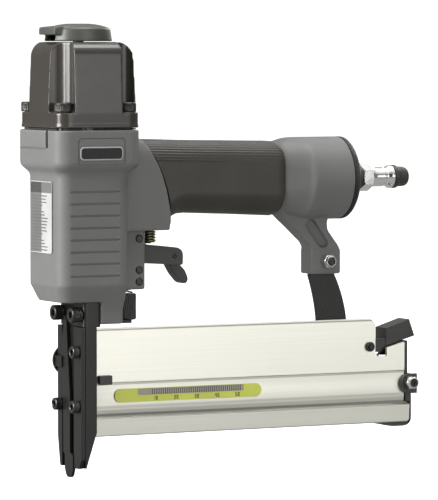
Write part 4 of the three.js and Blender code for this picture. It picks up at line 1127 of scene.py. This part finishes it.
def make_stage():
    scene = bpy.context.scene
    floor = mesh_object([(math.cos(a) * 9, math.sin(a) * 9, 0) for a in
                         (2 * math.pi * i / 96 for i in range(96))], [tuple(range(96))])
    floor.name = "floor"
    material, tree, shader = new_material("floor")
    shader.inputs["Roughness"].default_value = 0.9
    shader.inputs["Specular IOR Level"].default_value = 0.0
    shader.inputs["Emission Color"].default_value = (1, 1, 1, 1)
    seen = tree.nodes.new("ShaderNodeLightPath")
    cloth = blend_colours(tree, seen.outputs["Is Glossy Ray"], (0.38, 0.38, 0.38), (0.15, 0.15, 0.15))
    tree.links.new(cloth, shader.inputs["Base Color"])
    glow = spread(tree, seen.outputs["Is Camera Ray"], 0.0, 0.85, 0, 1)
    tree.links.new(glow, shader.inputs["Emission Strength"])
    floor.data.materials.append(material)

    world = bpy.data.worlds.new("studio")
    scene.world = world
    world.use_nodes = True
    tree = world.node_tree
    background = tree.nodes["Background"]
    background.inputs["Color"].default_value = (1, 1, 1, 1)
    place_node = tree.nodes.new("ShaderNodeTexCoord")

    def lobe(direction, start, end, low, high):
        """A soft patch of sky round a direction."""
        dot = tree.nodes.new("ShaderNodeVectorMath")
        dot.operation = "DOT_PRODUCT"
        dot.inputs[1].default_value = Vector(direction).normalized()
        tree.links.new(place_node.outputs["Generated"], dot.inputs[0])
        return spread(tree, dot.outputs["Value"], low, high, start, end)

    dark_side = lobe((-0.45, -0.89, 0.1), 0.6, 0.95, 0.2, 0.05)
    bright_side = lobe((0.15, -0.985, 0.03), 0.9, 0.995, 0, 5.6)
    overhead = lobe((0, 0, 1), 0.4, 0.9, 0, 1.1)
    sky = calculate(tree, "ADD", calculate(tree, "ADD", dark_side, bright_side), overhead)
    seen = tree.nodes.new("ShaderNodeLightPath")
    strength = tree.nodes.new("ShaderNodeMix")
    tree.links.new(seen.outputs["Is Camera Ray"], strength.inputs["Factor"])
    tree.links.new(sky, strength.inputs[2])
    strength.inputs[3].default_value = 1.1
    tree.links.new(strength.outputs[0], background.inputs["Strength"])

    target = Vector((0.08, 0, 0.14))
    for name, place_at, size, power in (("key", (-2.0, 0.0, 0.75), 1.3, 112),
                                        ("top", (0.3, -0.1, 1.9), 1.3, 40),
                                        ("rim", (1.5, 1.0, 0.9), 1.0, 10)):
        light = bpy.data.lights.new(name, "AREA")
        light.shape = "DISK"
        light.size = size
        light.energy = power
        lamp = bpy.data.objects.new(name, light)
        lamp.location = place_at
        lamp.rotation_euler = (target - lamp.location).to_track_quat("-Z", "Y").to_euler()
        scene.collection.objects.link(lamp)

    camera_data = bpy.data.cameras.new("camera")
    camera_data.lens = 277.9
    camera_data.sensor_width = 36
    camera_data.clip_start = 0.1
    camera = bpy.data.objects.new("camera", camera_data)
    azimuth, height = math.radians(27), math.radians(3)
    camera.location = (AXIS_X - 0.905, -1.94835, 0.23917)
    camera.rotation_euler = (math.pi / 2 - height, 0, -azimuth)
    scene.collection.objects.link(camera)
    scene.camera = camera
    scene.view_settings.view_transform = "Standard"


make_stage()
make_deflector()
make_cap()
make_body()
make_grip()
make_rear()
make_trigger()
make_nose()
make_yoke()
make_magazine()
make_end_block()
make_labels()
make_head_valve_spring()
dress_inner_nodes()
